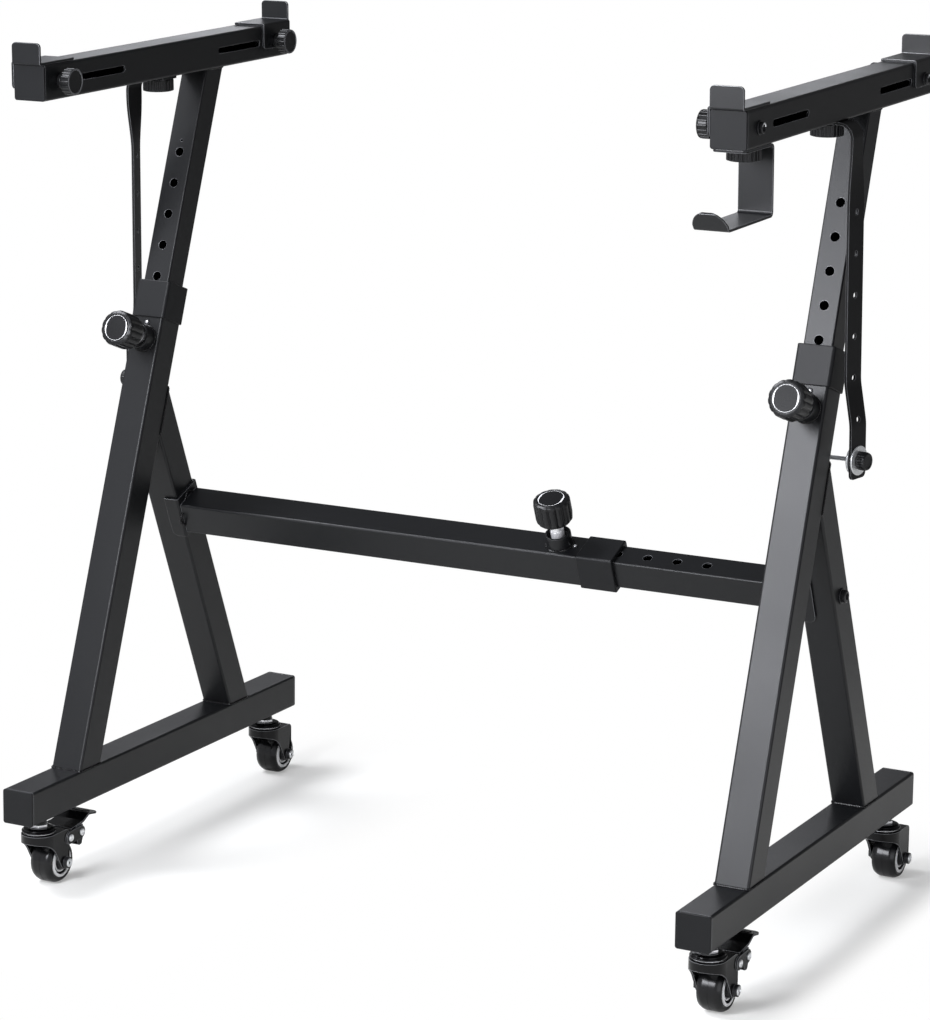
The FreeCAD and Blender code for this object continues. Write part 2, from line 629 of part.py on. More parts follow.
# Caster mounts: stem, nut, bush, ring and swivel race, fixed under the foot
def caster_stem(name, side, end):
    top_of_yoke = v.yoke_top_drop
    race_top = v.bush_height + v.ring_height
    race_end = top_of_yoke - v.race_gap
    bore = v.yoke_top_drop + v.yoke_sheet + v.race_gap
    stem = rod(name + "Stem", "Sizes.stem_radius",
               "Sizes.stem_rise + Sizes.yoke_top_drop + Sizes.yoke_sheet + Sizes.race_gap"
               " + Sizes.stem_head_height", shift(z=-bore - v.stem_head_height))
    nut = hexagon(name + "Nut", "Sizes.stem_nut_radius", "Sizes.stem_nut_height",
                  shift(z=v.tube_wall))
    bush = rod(name + "Bush", "Sizes.bush_radius", "Sizes.bush_height", shift(z=-v.bush_height))
    ring = hexagon(name + "Ring", "Sizes.ring_radius", "Sizes.ring_height", shift(z=-race_top))
    head = rod(name + "Head", "Sizes.stem_head_radius", "Sizes.stem_head_height",
               shift(z=-bore - v.stem_head_height))
    race = new_body(name + "Race")
    outline = new_sketch(race, "YZ_Plane")
    draw_outline(outline, [(0, -race_top, 0), (v.race_top_radius, -race_top, 0),
                           (v.race_radius, -race_end + v.race_rim, v.race_rim),
                           (v.race_radius, -race_end, 0), (0, -race_end, 0)])
    revolve(race, outline, "V_Axis")
    item = join(name, stem, nut, bush, ring, head, race)
    item.Placement = caster_frame(side, end)
    return item


def boss_screw(name, place):
    """Flat screw head on the tube's face beside a pin boss."""
    return rod(name, "Sizes.boss_screw_radius", "Sizes.boss_screw_height",
               place * shift(z=half_tube))


def frame_fasteners(name, side):
    pieces = [bar_bolt(name + "BarBolt", side)]
    for end_name, end in (("Front", -1), ("Rear", 1)):
        pieces.append(caster_stem(name + end_name + "Mount", side, end))
    pieces.append(boss_screw(name + "LegScrew", leg_pin_frame(side) * shift(y=-v.boss_screw_reach)))
    if side < 0:
        pieces.append(boss_screw("BarScrew", bar_pin_frame() * shift(x=v.boss_screw_reach)))
    node(name + "_frame_fasteners", group(name + "Fasteners", *pieces), shift())


# Arms
def arm(name, side):
    """Arm tube with slots and bolt holes in its sides and stud holes in its underside."""
    middle = v.arm_length / 2
    tube = square_tube(name + "ArmTube", "XZ_Plane", v.tube_width, tube_bore, v.tube_corner,
                       "Sizes.arm_length - 2 * Sizes.cap_flange", both=True)
    sides = new_sketch(tube, "YZ_Plane")
    slot_half = v.arm_slot_height / 2
    for end in (-1, 1):
        near, far = end * (middle - v.arm_slot_near), end * (middle - v.arm_slot_far)
        draw_outline(sides, [(near, -slot_half, slot_half), (far, -slot_half, slot_half),
                             (far, slot_half, slot_half), (near, slot_half, slot_half)])
        draw_circle(sides, "Sizes.stop_bolt_radius + Sizes.hole_clearance",
                    "%d * (Sizes.arm_length / 2 - Sizes.stop_bolt_setback)" % end)
    pocket(tube, sides, "2 * Sizes.tube_width", both=True)
    under = new_sketch(tube, "XY_Plane")
    draw_circle(under, "Sizes.stud_radius + Sizes.running_clearance",
                y="Sizes.strap_setback - Sizes.arm_length / 2")
    if side > 0:
        draw_circle(under, "Sizes.stud_radius + Sizes.running_clearance",
                    y="Sizes.hook_knob_setback - Sizes.arm_length / 2")
    pocket(tube, under, "Sizes.tube_width")
    place = arm_frame(side) * shift(y=middle, z=half_tube)
    node(name + "_arm_tube", tube, place)
    end_caps(name + "_arm_end_caps", place, v.arm_length)


def inner_leg(name, side):
    """Sliding leg tube, from its overlap below the pin to the arm, with a row of pin holes."""
    start = v.leg_pin_height - v.leg_inner_overlap
    blank = square_tube(name + "InnerLegBlank", "XY_Plane", inner_width, inner_bore,
                        v.inner_tube_corner,
                        "Sizes.leg_height + Sizes.tube_width - Sizes.leg_pin_height"
                        " + Sizes.leg_inner_overlap")
    blank.Placement = shift(z=start)
    row = "(Sizes.leg_hole_count - 1) * Sizes.leg_hole_pitch"
    holes = new_sketch(blank, "XZ_Plane")
    draw_circle(holes, "Sizes.pin_radius + Sizes.hole_clearance", y="Sizes.leg_inner_overlap")
    first = pocket(blank, holes, "Sizes.tube_width", back=True)
    repeat_along(blank, first, holes, "V_Axis", row, "Sizes.leg_hole_count")
    mark = rod(name + "Mark", "Sizes.leg_mark_radius", "Sizes.tube_width")
    mark_height = v.leg_pin_height + (v.leg_hole_count - 1) * v.leg_hole_pitch + v.leg_mark_above
    mark.Placement = shift(z=mark_height) * turn(X_AXIS, 90)
    above = box(name + "ArmSpace", ("4 * Sizes.tube_width", "8 * Sizes.tube_width",
                                    "4 * Sizes.tube_width"),
                (-2 * v.tube_width, v.arm_setback - 4 * v.tube_width, 0))
    above.Placement = leg_frame(side).inverse() * arm_frame(side) * above.Placement
    node(name + "_leg_inner_tube", cut(name + "InnerLeg", blank, mark, above), leg_frame(side))


def stop_bracket(label, place):
    """Folded stop: plate on the arm, upright lip past its end and one side wall with a hole."""
    body = new_body(label.replace("_", ""))
    half_lip = v.stop_lip_width / 2
    top = v.tube_width + v.stop_sheet
    wall_x = -half_tube - v.stop_sheet
    low = v.tube_width - v.stop_wall_drop
    section = new_sketch(body, "XZ_Plane")
    draw_outline(section, [(wall_x, low, 0), (-half_tube, low, 0), (-half_tube, v.tube_width, 0),
                           (half_lip, v.tube_width, 0), (half_lip, top, 0),
                           (wall_x, top, v.stop_sheet)])
    pad(body, section, "Sizes.stop_reach", back=True)
    neck = new_sketch(body, "XZ_Plane")
    draw_outline(neck, [(-half_lip, v.tube_width, 0), (half_lip, v.tube_width, 0),
                        (half_lip, top, 0), (-half_lip, top, 0)])
    pad(body, neck, "Sizes.stop_overhang")
    lip = new_sketch(body, "XZ_Plane", lift=v.stop_overhang - v.stop_sheet)
    rise = top + v.stop_rise
    draw_outline(lip, [(-half_lip, v.tube_width, 0), (half_lip, v.tube_width, 0),
                       (half_lip, rise, v.stop_lip_corner), (-half_lip, rise, v.stop_lip_corner)])
    pad(body, lip, "Sizes.stop_sheet")
    hole = new_sketch(body, "YZ_Plane")
    draw_circle(hole, "Sizes.stop_bolt_radius + Sizes.hole_clearance",
                "Sizes.stop_bolt_setback", "Sizes.tube_width / 2")
    pocket(body, hole, "4 * Sizes.tube_width", both=True)
    front = -v.stop_overhang
    fillet_edges(body, "Sizes.stop_sheet * Sizes.stop_neck_share",
                 lambda edge: abs(edge.BoundBox.YMin - front) + abs(edge.BoundBox.YMax - front) < 1e-6
                 and edge.BoundBox.ZMax < v.tube_width + 1e-6)
    fillet_edges(body, "Sizes.stop_lip_corner",
                 lambda edge: edge.BoundBox.YMin > v.stop_reach - 1e-6
                 and edge.BoundBox.ZMax < low + 1e-6 or edge.BoundBox.YMax < 1e-6
                 and edge.BoundBox.YMin > -1e-6 and edge.BoundBox.ZMax < low + 1e-6
                 and edge.BoundBox.XLength > v.stop_sheet / 2)
    node(label, body, place)


def stop_frame(side, end):
    """Frame of a stop: origin at the arm's end, +Y towards the arm's middle."""
    if end < 0:
        return arm_frame(side)
    return arm_frame(side) * shift(y=v.arm_length) * turn(Z_AXIS, 180)


def stop_bolt(name, side, end):
    """Socket screw through the arm: head and ring outside, thread end inside the knob."""
    outside, inside = stop_seats(side, end)
    outward = turn(Y_AXIS, 90 * side)
    ring = rod(name + "Ring", "Sizes.stop_ring_radius", "Sizes.stop_ring_height",
               shift(outside) * outward)
    head = socket_head(name + "Head", "Sizes.stop_bolt_head_radius",
                       "Sizes.stop_bolt_head_height",
                       shift(outside + side * v.stop_ring_height) * outward)
    end_x = inside - side * v.stop_bolt_end
    shank = rod(name + "Shank", "Sizes.stop_bolt_radius",
                "Sizes.tube_width + Sizes.stop_sheet + Sizes.stop_bolt_end",
                shift(end_x) * outward)
    item = join(name, ring, head, shank)
    y = v.stop_bolt_setback if end < 0 else v.arm_length - v.stop_bolt_setback
    item.Placement = shift(y=y, z=half_tube)
    return item


def stop_seats(side, end):
    """X of the outer seat, under the screw head, and of the inner seat, under the knob."""
    wall_outside = (end < 0) == (side < 0)
    outside = side * (half_tube + (v.stop_sheet if wall_outside else 0))
    inside = -side * (half_tube + (0 if wall_outside else v.stop_sheet))
    return outside, inside


def ribbed_knob(name, kind, height, bore_radius, bore_depth, collar_radius=0.0, collar_height=0.0):
    """Ribbed thumb knob along +Z, standing on its collar, with a bore from below.

    The kind names the sizes of the knob: its radius, edge and ribs.
    """
    body = new_body(name)
    outline = new_sketch(body, "YZ_Plane")
    top = collar_height + height
    seat = [(bore_radius, 0, 0), (collar_radius, 0, 0), (collar_radius, collar_height, 0)]
    base = seat if collar_height else [(bore_radius, 0, 0)]
    hollow = [(0, top, 0), (0, bore_depth, 0), (bore_radius, bore_depth, 0)]
    radius, edge = getattr(v, kind + "_radius"), getattr(v, kind + "_edge")
    draw_outline(outline, base + [(radius, collar_height, edge), (radius, top, edge)] + hollow)
    revolve(body, outline, "V_Axis")
    rib = new_sketch(body, "XY_Plane", lift=collar_height)
    draw_circle(rib, "Sizes.%s_rib_radius" % kind, "Sizes.%s_radius" % kind)
    first = pocket(body, rib, "Sizes.tube_width", back=True)
    repeat_round(body, first, rib, "Sizes.%s_rib_count" % kind)
    return body


def stop_knob(label, side, end):
    body = ribbed_knob(label.replace("_", ""), "stop_knob", v.stop_knob_height,
                       v.stop_bolt_radius + v.running_clearance,
                       v.stop_bolt_end + v.running_clearance,
                       v.stop_knob_collar_radius, v.stop_knob_collar_height)
    outside, inside = stop_seats(side, end)
    y = v.stop_bolt_setback if end < 0 else v.arm_length - v.stop_bolt_setback
    node(label, body, arm_frame(side) * shift(inside, y, half_tube) * turn(Y_AXIS, -90 * side))


def thumb_knob(label, side, setback, height, sheet_below):
    """Ribbed knob under the arm with its threaded stud through the sheet and the tube wall."""
    name = label.replace("_", "")
    knob = ribbed_knob(name, "thumb_knob", height, v.stud_radius, v.stud_sink)
    stud = rod(name + "Stud", "Sizes.stud_radius", "Sizes.stud_length + Sizes.stud_sink",
               shift(z=-v.stud_length))
    item = join(name + "Whole", knob, stud)
    place = arm_frame(side) * shift(y=setback, z=-sheet_below) * turn(X_AXIS, 180)
    node(label, item, place)


# Straps and pegs
def strap(label, side):
    """Webbing strap from under the arm, down past the leg to its peg, with its row of holes."""
    body = new_body(label.replace("_", ""))
    half = v.strap_sheet / 2
    jog_x = side * (v.strap_offset + v.strap_jog)
    path = [(-side * v.strap_inner_reach, -half), (side * v.strap_offset, -half),
            (side * v.strap_offset, v.strap_jog_top - v.strap_drop),
            (jog_x, v.strap_jog_end - v.strap_drop), (jog_x, -v.strap_drop - v.strap_tail)]
    profile = new_sketch(body, "XZ_Plane")
    corners = strip_corners(path, v.strap_sheet, v.strap_bend)
    jog = (2, 3, len(corners) - 3, len(corners) - 4)
    corners = [(x, y, v.strap_jog_bend if index in jog else radius)
               for index, (x, y, radius) in enumerate(corners)]
    draw_outline(profile, corners)
    pad(body, profile, "Sizes.strap_width", both=True)
    low = -v.strap_drop - v.strap_tail
    fillet_edges(body, "Sizes.strap_corner",
                 lambda edge: edge.BoundBox.ZMax < low + 1e-6 and edge.BoundBox.XLength > half)
    holes = new_sketch(body, "YZ_Plane")
    draw_circle(holes, "Sizes.strap_hole_radius", y="-Sizes.strap_drop")
    first = pocket(body, holes, "8 * Sizes.tube_width", both=True)
    repeat_along(body, first, holes, "V_Axis",
                 "(Sizes.strap_hole_count - 1) * Sizes.strap_hole_pitch",
                 "Sizes.strap_hole_count")
    stud_hole = rod(label.replace("_", "") + "StudHole",
                    "Sizes.stud_radius + Sizes.running_clearance", "2 * Sizes.tube_width",
                    shift(z=-v.tube_width))
    node(label, cut(label.replace("_", "") + "Cut", body, stud_hole),
         arm_frame(side) * shift(y=v.strap_setback))


def strap_stud(label, side):
    """Lug on the back of the leg with a cross rod, two washers and a cap for the strap."""
    name = label.replace("_", "")
    peg_place = arm_frame(side) * shift(y=v.strap_setback, z=-v.strap_drop)
    in_leg = leg_frame(side).inverse() * peg_place
    strap_x = v.strap_offset + v.strap_jog
    near = strap_x - v.strap_sheet / 2 - v.peg_gap
    far = strap_x + v.strap_sheet / 2 + v.peg_gap
    outward = turn(Y_AXIS, 90 * side)
    peg = rod(name + "Rod", "Sizes.peg_radius",
              "Sizes.strap_offset + Sizes.strap_jog + Sizes.strap_sheet / 2 + Sizes.peg_gap"
              " + Sizes.peg_washer_sheet + Sizes.peg_lug_sheet / 2 + Sizes.peg_cap_height / 2",
              shift(-side * v.peg_lug_sheet / 2) * outward)
    inner_washer = rod(name + "Inner", "Sizes.peg_washer_radius", "Sizes.peg_washer_sheet",
                       shift(side * (near - v.peg_washer_sheet)) * outward)
    outer_washer = rod(name + "Outer", "Sizes.peg_washer_radius", "Sizes.peg_washer_sheet",
                       shift(side * far) * outward)
    cap = rod(name + "Cap", "Sizes.peg_cap_radius", "Sizes.peg_cap_height",
              shift(side * (far + v.peg_washer_sheet)) * outward)
    lug = new_body(name + "Lug")
    plate = new_sketch(lug, "YZ_Plane")
    back = in_leg.Base.y + v.peg_lug_radius
    low, high = in_leg.Base.z - v.peg_lug_radius, in_leg.Base.z + v.peg_lug_radius
    draw_outline(plate, [(half_tube, low, 0), (back, low, v.peg_lug_radius),
                         (back, high, v.peg_lug_radius), (half_tube, high, 0)])
    pad(lug, plate, "Sizes.peg_lug_sheet", both=True)
    lug.Placement = peg_place.inverse() * leg_frame(side)
    node(label, join(name + "Whole", lug, peg, inner_washer, outer_washer, cap), peg_place)


def headphone_hook():
    """Bent plate hook under the right arm: tab, drop, floor and a leaning, arched lip."""
    body = new_body("HookSheet")
    half = v.hook_sheet / 2
    lean = math.radians(v.hook_lip_lean)
    lip_y = v.hook_floor_front - v.hook_lip * math.sin(lean)
    lip_z = v.hook_lip * math.cos(lean) - v.hook_drop
    path = [(v.hook_front, -half), (v.hook_back - half, -half), (v.hook_back - half, -v.hook_drop),
            (v.hook_floor_front, -v.hook_drop), (lip_y, lip_z)]
    profile = new_sketch(body, "YZ_Plane")
    draw_outline(profile, strip_corners(path, v.hook_sheet, v.hook_bend))
    pad(body, profile, "Sizes.hook_width", both=True)
    arch = new_sketch(body, "XZ_Plane", lift=-v.hook_floor_front)
    crown = lip_z + half
    half_width = v.hook_width / 2
    radius = (half_width ** 2 + v.hook_arch ** 2) / (2 * v.hook_arch)
    circle = Part.Circle(FreeCAD.Vector(0, crown - radius, 0), Z_AXIS, radius)
    span = 2 * math.atan(v.hook_arch / half_width)
    arch.addGeometry(Part.ArcOfCircle(circle, math.pi / 2 - span, math.pi / 2 + span), False)
    spring_z = crown - v.hook_arch
    ceiling, outside = crown + v.overrun, half_width + v.overrun
    rim = [(-half_width, spring_z), (-outside, spring_z), (-outside, ceiling),
           (outside, ceiling), (outside, spring_z), (half_width, spring_z)]
    for first, last in zip(rim, rim[1:]):
        arch.addGeometry(Part.LineSegment(FreeCAD.Vector(*first, 0), FreeCAD.Vector(*last, 0)),
                         False)
    pocket(body, arch, "Sizes.hook_lip", back=True)
    front = v.hook_front
    fillet_edges(body, "Sizes.hook_tab_corner",
                 lambda edge: abs(edge.BoundBox.YMin - front) + abs(edge.BoundBox.YMax - front) < 1e-6
                 and abs(edge.BoundBox.ZLength - v.hook_sheet) < 1e-6)
    hole = new_sketch(body, "XY_Plane")
    draw_circle(hole, "Sizes.stud_radius + Sizes.running_clearance", y="Sizes.hook_knob_setback")
    pocket(body, hole, "Sizes.hook_sheet")
    node("headphone_hook", body, arm_frame(1))


# Casters
def yoke(name):
    """Pressed caster yoke: round front wall, flat sides, closed top, open at the back."""
    shell = new_body(name + "Shell")
    plan = new_sketch(shell, "XY_Plane", lift=-v.yoke_top_drop)
    outer = v.yoke_radius
    draw_outline(plan, [(-outer, v.yoke_back, 0), (-outer, -outer, outer), (outer, -outer, outer),
                        (outer, v.yoke_back, 0)])
    pad(shell, plan, "Sizes.axle_drop + Sizes.yoke_boss_radius - Sizes.yoke_top_drop", back=True)
    hollow = new_sketch(shell, "XY_Plane", lift=-v.yoke_top_drop - v.yoke_sheet)
    inner = outer - v.yoke_sheet
    back = v.yoke_back + v.overrun
    draw_outline(hollow, [(-inner, back, 0), (-inner, -inner, inner), (inner, -inner, inner),
                          (inner, back, 0)])
    pocket(shell, hollow, "Sizes.axle_drop + Sizes.yoke_boss_radius")
    profile = new_body(name + "Profile")
    outline = new_sketch(profile, "YZ_Plane")
    front = -outer - v.overrun
    boss_front, boss_back = v.axle_trail - v.yoke_boss_radius, v.axle_trail + v.yoke_boss_radius
    boss_low = -v.axle_drop - v.yoke_boss_radius
    draw_outline(outline, [(front, -v.yoke_top_drop, 0), (front, -v.yoke_front_drop, 0),
                           (v.yoke_sweep_y, -v.yoke_sweep_drop, v.yoke_sweep_bend),
                           (boss_front, boss_low, v.yoke_boss_radius),
                           (boss_back, boss_low, v.yoke_boss_radius),
                           (boss_back, -v.yoke_top_drop, v.yoke_back_corner)])
    pad(profile, outline, "4 * Sizes.yoke_radius", both=True)
    shaped = common(name + "Shaped", shell, profile)
    across = turn(Y_AXIS, 90)
    axle_hole = rod(name + "AxleHole", "Sizes.axle_radius", "4 * Sizes.yoke_radius",
                    shift(-2 * outer, v.axle_trail, -v.axle_drop) * across)
    stem_hole = rod(name + "StemHole", "Sizes.stem_radius + Sizes.running_clearance",
                    "2 * Sizes.yoke_top_drop", shift(z=-2 * v.yoke_top_drop))
    return cut(name, shaped, axle_hole, stem_hole)


def caster_axle(name):
    """Axle bolt across the yoke with a domed head on one side and a nut on the other."""
    across = turn(Y_AXIS, 90)
    middle = shift(0, v.axle_trail, -v.axle_drop)
    bolt = rod(name + "Bolt", "Sizes.axle_radius", "2 * Sizes.yoke_radius",
               middle * shift(-v.yoke_radius) * across)
    head = rod(name + "Head", "Sizes.axle_head_radius", "Sizes.axle_head_height",
               middle * shift(v.yoke_radius) * across)
    nut = hexagon(name + "Nut", "Sizes.axle_head_radius", "Sizes.axle_head_height",
                  middle * shift(-v.yoke_radius - v.axle_head_height) * across)
    return join(name, bolt, head, nut)


def brake_links(name):
    """Two link plates on the yoke's sides with rivets and the cross pin of the pedal."""
    pieces = []
    across = turn(Y_AXIS, 90)
    rise = v.link_front_drop - v.pedal_pivot_drop
    run = v.pedal_pivot_y - v.link_front_y
    slope = math.degrees(math.atan2(rise, run))
    for side in (-1, 1):
        plate = new_body("%sLink%d" % (name, side + 1))
        outline = new_sketch(plate, "YZ_Plane")
        length = math.hypot(rise, run)
        reach = v.link_radius
        draw_outline(outline, [(-reach, -reach, reach), (length + reach, -reach, reach),
                               (length + reach, reach, reach), (-reach, reach, reach)])
        pad(plate, outline, "Sizes.link_sheet", back=side < 0)
        plate.Placement = (shift(side * v.yoke_radius, v.link_front_y, -v.link_front_drop)
                           * turn(X_AXIS, slope))
        pieces.append(plate)
        outward = turn(Y_AXIS, 90 * side)
        face = side * (v.yoke_radius + v.link_sheet)
        for y, drop in ((v.link_front_y, v.link_front_drop), (v.pedal_pivot_y, v.pedal_pivot_drop)):
            pieces.append(rod("%sRivet%d" % (name, len(pieces)), "Sizes.rivet_radius",
                              "Sizes.rivet_height", shift(face, y, -drop) * outward))
    pin = rod(name + "Pin", "Sizes.pivot_radius", "2 * (Sizes.yoke_radius + Sizes.link_sheet)",
              shift(-v.yoke_radius - v.link_sheet, v.pedal_pivot_y, -v.pedal_pivot_drop) * across)
    pieces.append(pin)
    return pieces


def brake_pedal(label, place):
    """Brake pedal: stepped foot plate on two webs, pivoted between the links, with a cam."""
    name = label.replace("_", "")
    sheet_body = new_body(name + "Plate")
    profile = new_sketch(sheet_body, "YZ_Plane")
    path = [(v.pedal_front_y, -v.pedal_front_drop), (v.pedal_step_y, -v.pedal_step_drop),
            (v.pedal_shelf_y, -v.pedal_shelf_drop), (v.pedal_tip_y, -v.pedal_tip_drop)]
    draw_outline(profile, strip_corners(path, v.pedal_sheet, v.pedal_bend))
    pad(sheet_body, profile, "Sizes.pedal_width", both=True)
    tip = v.pedal_tip_y - v.pedal_sheet
    fillet_edges(sheet_body, "Sizes.pedal_tip_corner",
                 lambda edge: edge.BoundBox.YMin > tip and edge.BoundBox.XLength < 1e-6)
    web = new_body(name + "Web")
    outline = new_sketch(web, "YZ_Plane")
    half = v.pedal_hub_radius
    plate_z = -v.pedal_front_drop + v.pedal_sheet / 2
    step_y = v.pedal_pivot_y + half
    cam_front, cam_back = v.pedal_pivot_y - v.cam_radius, v.pedal_pivot_y + v.cam_radius
    cam_low = -v.pedal_pivot_drop - v.cam_drop - v.cam_radius
    draw_outline(outline, [(v.pedal_pivot_y - half, plate_z, 0), (step_y, plate_z, 0),
                           (step_y, -v.pedal_pivot_drop - half, half / 2),
                           (cam_back, cam_low, v.cam_radius), (cam_front, cam_low, v.cam_radius),
                           (v.pedal_pivot_y - half, -v.pedal_pivot_drop - half, half / 2)])
    pad(web, outline, "2 * (Sizes.yoke_radius - Sizes.pedal_side_gap)", both=True)
    bore = rod(name + "Bore", "Sizes.pivot_radius + Sizes.running_clearance",
               "4 * Sizes.yoke_radius",
               shift(-2 * v.yoke_radius, v.pedal_pivot_y, -v.pedal_pivot_drop) * turn(Y_AXIS, 90))
    hollow_half = v.yoke_radius - v.pedal_side_gap - v.pedal_web_half
    hollow = box(name + "Hollow", ("2 * (Sizes.yoke_radius - Sizes.pedal_side_gap"
                                   " - Sizes.pedal_web_half)", "4 * Sizes.pedal_hub_radius",
                                   "Sizes.pedal_pivot_drop - Sizes.pedal_hub_radius"
                                   " - Sizes.pedal_front_drop + Sizes.pedal_sheet / 2"),
                 (-hollow_half, v.pedal_pivot_y - 2 * half, -v.pedal_pivot_drop + half))
    node(label, cut(name + "Cut", join(name + "Joined", sheet_body, web), bore, hollow), place)


def wheel(name, side, end):
    """Tyre and hub as two revolved bodies about the axle."""
    place = caster_frame(side, end) * shift(0, v.axle_trail, -v.axle_drop)
    tyre = new_body(name.replace("_", "") + "Tyre")
    outline = new_sketch(tyre, "XY_Plane")
    half = v.tyre_width / 2
    draw_outline(outline, [(-half, v.rim_radius, 0), (-half, v.wheel_radius, v.tyre_crown),
                           (half, v.wheel_radius, v.tyre_crown), (half, v.rim_radius, 0)])
    revolve(tyre, outline, "H_Axis")
    node(name + "_tyre", tyre, place)
    hub = new_body(name.replace("_", "") + "Hub")
    section = new_sketch(hub, "XY_Plane")
    bore = v.axle_radius + v.running_clearance
    hub_half = v.yoke_radius - v.yoke_sheet - v.hub_clearance
    rim_half, disc_half = v.rim_width / 2, v.disc_width / 2
    rim_inside = v.rim_radius - v.rim_wall
    right_half = [(hub_half, bore, 0), (hub_half, v.hub_radius, 0), (disc_half, v.hub_radius, 0),
                  (disc_half, rim_inside, 0), (rim_half, rim_inside, 0),
                  (rim_half, v.rim_radius, 0)]
    left_half = [(-x, y, radius) for x, y, radius in reversed(right_half)]
    draw_outline(section, right_half + left_half)
    revolve(hub, section, "H_Axis")
    node(name + "_hub", hub, place)


# Assembly
def side_frame(name, side):
    foot(name, side)
    leg(name, side)
    brace(name, side)
    top = collar(name + "LegCollar")
    top.Placement = leg_frame(side) * shift(z=v.leg_outer_length)
    boss = pin_boss(name + "LegBoss")
    boss.Placement = leg_pin_frame(side)
    if side < 0:
        bar_top = collar("BarCollar")
        bar_end = v.bar_collar_end - v.collar_lip
        bar_top.Placement = bar_frame() * shift(x=bar_end) * turn(Y_AXIS, 90)
        bar_boss = pin_boss("BarBoss")
        bar_boss.Placement = bar_pin_frame()
        node("left_collars", group("LeftCollars", top, bar_top), shift())
        node("left_pin_bosses", group("LeftPinBosses", boss, bar_boss), shift())
    else:
        node("right_leg_collar", top, shift())
        node("right_pin_boss", boss, shift())
    frame_fasteners(name, side)
    strap_stud(name + "_strap_stud", side)
    plunger(name + "_leg_plunger", leg_pin_frame(side))
    pull_knob(name + "_leg_pull_knob", leg_pin_frame(side))


def upper_frame(name, side):
    inner_leg(name, side)
    arm(name, side)
    bolts = []
    for end_name, end in (("front", -1), ("rear", 1)):
        stop_bracket("%s_%s_stop" % (name, end_name), stop_frame(side, end))
        stop_knob("%s_%s_stop_knob" % (name, end_name), side, end)
        bolts.append(stop_bolt(name + end_name + "StopBolt", side, end))
    node(name + "_stop_bolts", group(name + "StopBolts", *bolts), arm_frame(side))
    strap(name + "_strap", side)
    thumb_knob(name + "_strap_knob", side, v.strap_setback, v.strap_knob_height, v.strap_sheet)


def casters(name, side):
    for end_name, end in (("front", -1), ("rear", 1)):
        label = "%s_%s_caster" % (name, end_name)
        plain = label.replace("_", "")
        pieces = [yoke(plain + "Yoke"), caster_axle(plain + "Axle")]
        if end < 0:
            pieces += brake_links(plain)
            brake_pedal(name + "_front_brake_pedal", caster_frame(side, end))
        node(label + "_fork", join(plain + "Fork", *pieces), caster_frame(side, end))
        wheel(label, side, end)


for side_name, side_sign in SIDES.items():
    side_frame(side_name, side_sign)
    upper_frame(side_name, side_sign)
    casters(side_name, side_sign)
crossbar_outer()
crossbar_inner()
plunger("crossbar_plunger", bar_pin_frame())
pull_knob("crossbar_pull_knob", bar_pin_frame())
headphone_hook()
thumb_knob("headphone_hook_knob", 1, v.hook_knob_setback, v.hook_knob_height, v.hook_sheet)

# Check every object, then write one file for each sub-part
doc.recompute()
for item in doc.Objects:
    if "Invalid" in item.State or "Error" in item.State:
        raise ValueError("%s failed: %s" % (item.Label, item.State))
os.makedirs("parts", exist_ok=True)
for item in nodes:
    if item.Shape.isNull() or not item.Shape.isValid():
        raise ValueError("%s has no valid shape" % item.Label)
for item in nodes:
    item.Shape.exportStep("parts/%s.step" % item.Label)
box_of_all = Part.makeCompound([item.Shape for item in nodes]).BoundBox
print(len(nodes), "sub-parts;", "X %.1f..%.1f  Y %.1f..%.1f  Z %.1f..%.1f" % (
    box_of_all.XMin, box_of_all.XMax, box_of_all.YMin, box_of_all.YMax, box_of_all.ZMin,
    box_of_all.ZMax))
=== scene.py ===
import json
import math

import bmesh
import bpy
from mathutils import Matrix, Vector


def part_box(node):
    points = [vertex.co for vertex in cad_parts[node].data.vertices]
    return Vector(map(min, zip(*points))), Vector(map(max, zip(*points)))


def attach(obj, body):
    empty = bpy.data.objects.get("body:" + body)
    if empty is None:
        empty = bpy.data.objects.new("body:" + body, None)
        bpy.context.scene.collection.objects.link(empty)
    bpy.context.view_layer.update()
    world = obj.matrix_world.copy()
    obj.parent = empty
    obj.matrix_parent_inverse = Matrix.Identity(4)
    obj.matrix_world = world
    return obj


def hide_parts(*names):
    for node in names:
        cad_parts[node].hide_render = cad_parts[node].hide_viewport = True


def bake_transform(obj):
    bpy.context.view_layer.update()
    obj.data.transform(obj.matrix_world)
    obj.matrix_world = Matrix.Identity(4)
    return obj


bl_info = {
    "name": "Keyboard Stand",
    "version": (1, 0, 0),
    "blender": (4, 5, 0),
    "location": "3D View > Sidebar > Keyboard Stand",
    "description": "Dresses a steel keyboard stand: coated tubes, knobs, stops, straps and casters",
    "category": "Object",
}

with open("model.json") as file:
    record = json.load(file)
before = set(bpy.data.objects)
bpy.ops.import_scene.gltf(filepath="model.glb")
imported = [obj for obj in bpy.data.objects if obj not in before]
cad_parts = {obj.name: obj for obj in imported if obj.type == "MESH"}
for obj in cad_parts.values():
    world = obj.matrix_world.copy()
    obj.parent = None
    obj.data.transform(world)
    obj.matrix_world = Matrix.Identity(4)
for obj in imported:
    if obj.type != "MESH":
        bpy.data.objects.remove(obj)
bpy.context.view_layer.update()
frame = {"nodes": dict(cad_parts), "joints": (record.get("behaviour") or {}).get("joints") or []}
JOINTS = {joint["name"]: joint for joint in frame["joints"]}
SIDES = {"left": -1, "right": 1}
ENDS = ("front", "rear")
CORNERS = [(side, end) for side in SIDES for end in ENDS]
MM = 0.001
ACROSS = Vector((1, 0, 0))
UP = Vector((0, 0, 1))
WHITE = (1.0, 1.0, 1.0)
MERGE_DISTANCE = 1e-6
SMOOTH_ANGLE = math.radians(32)
SHARP_EDGE = math.radians(38)


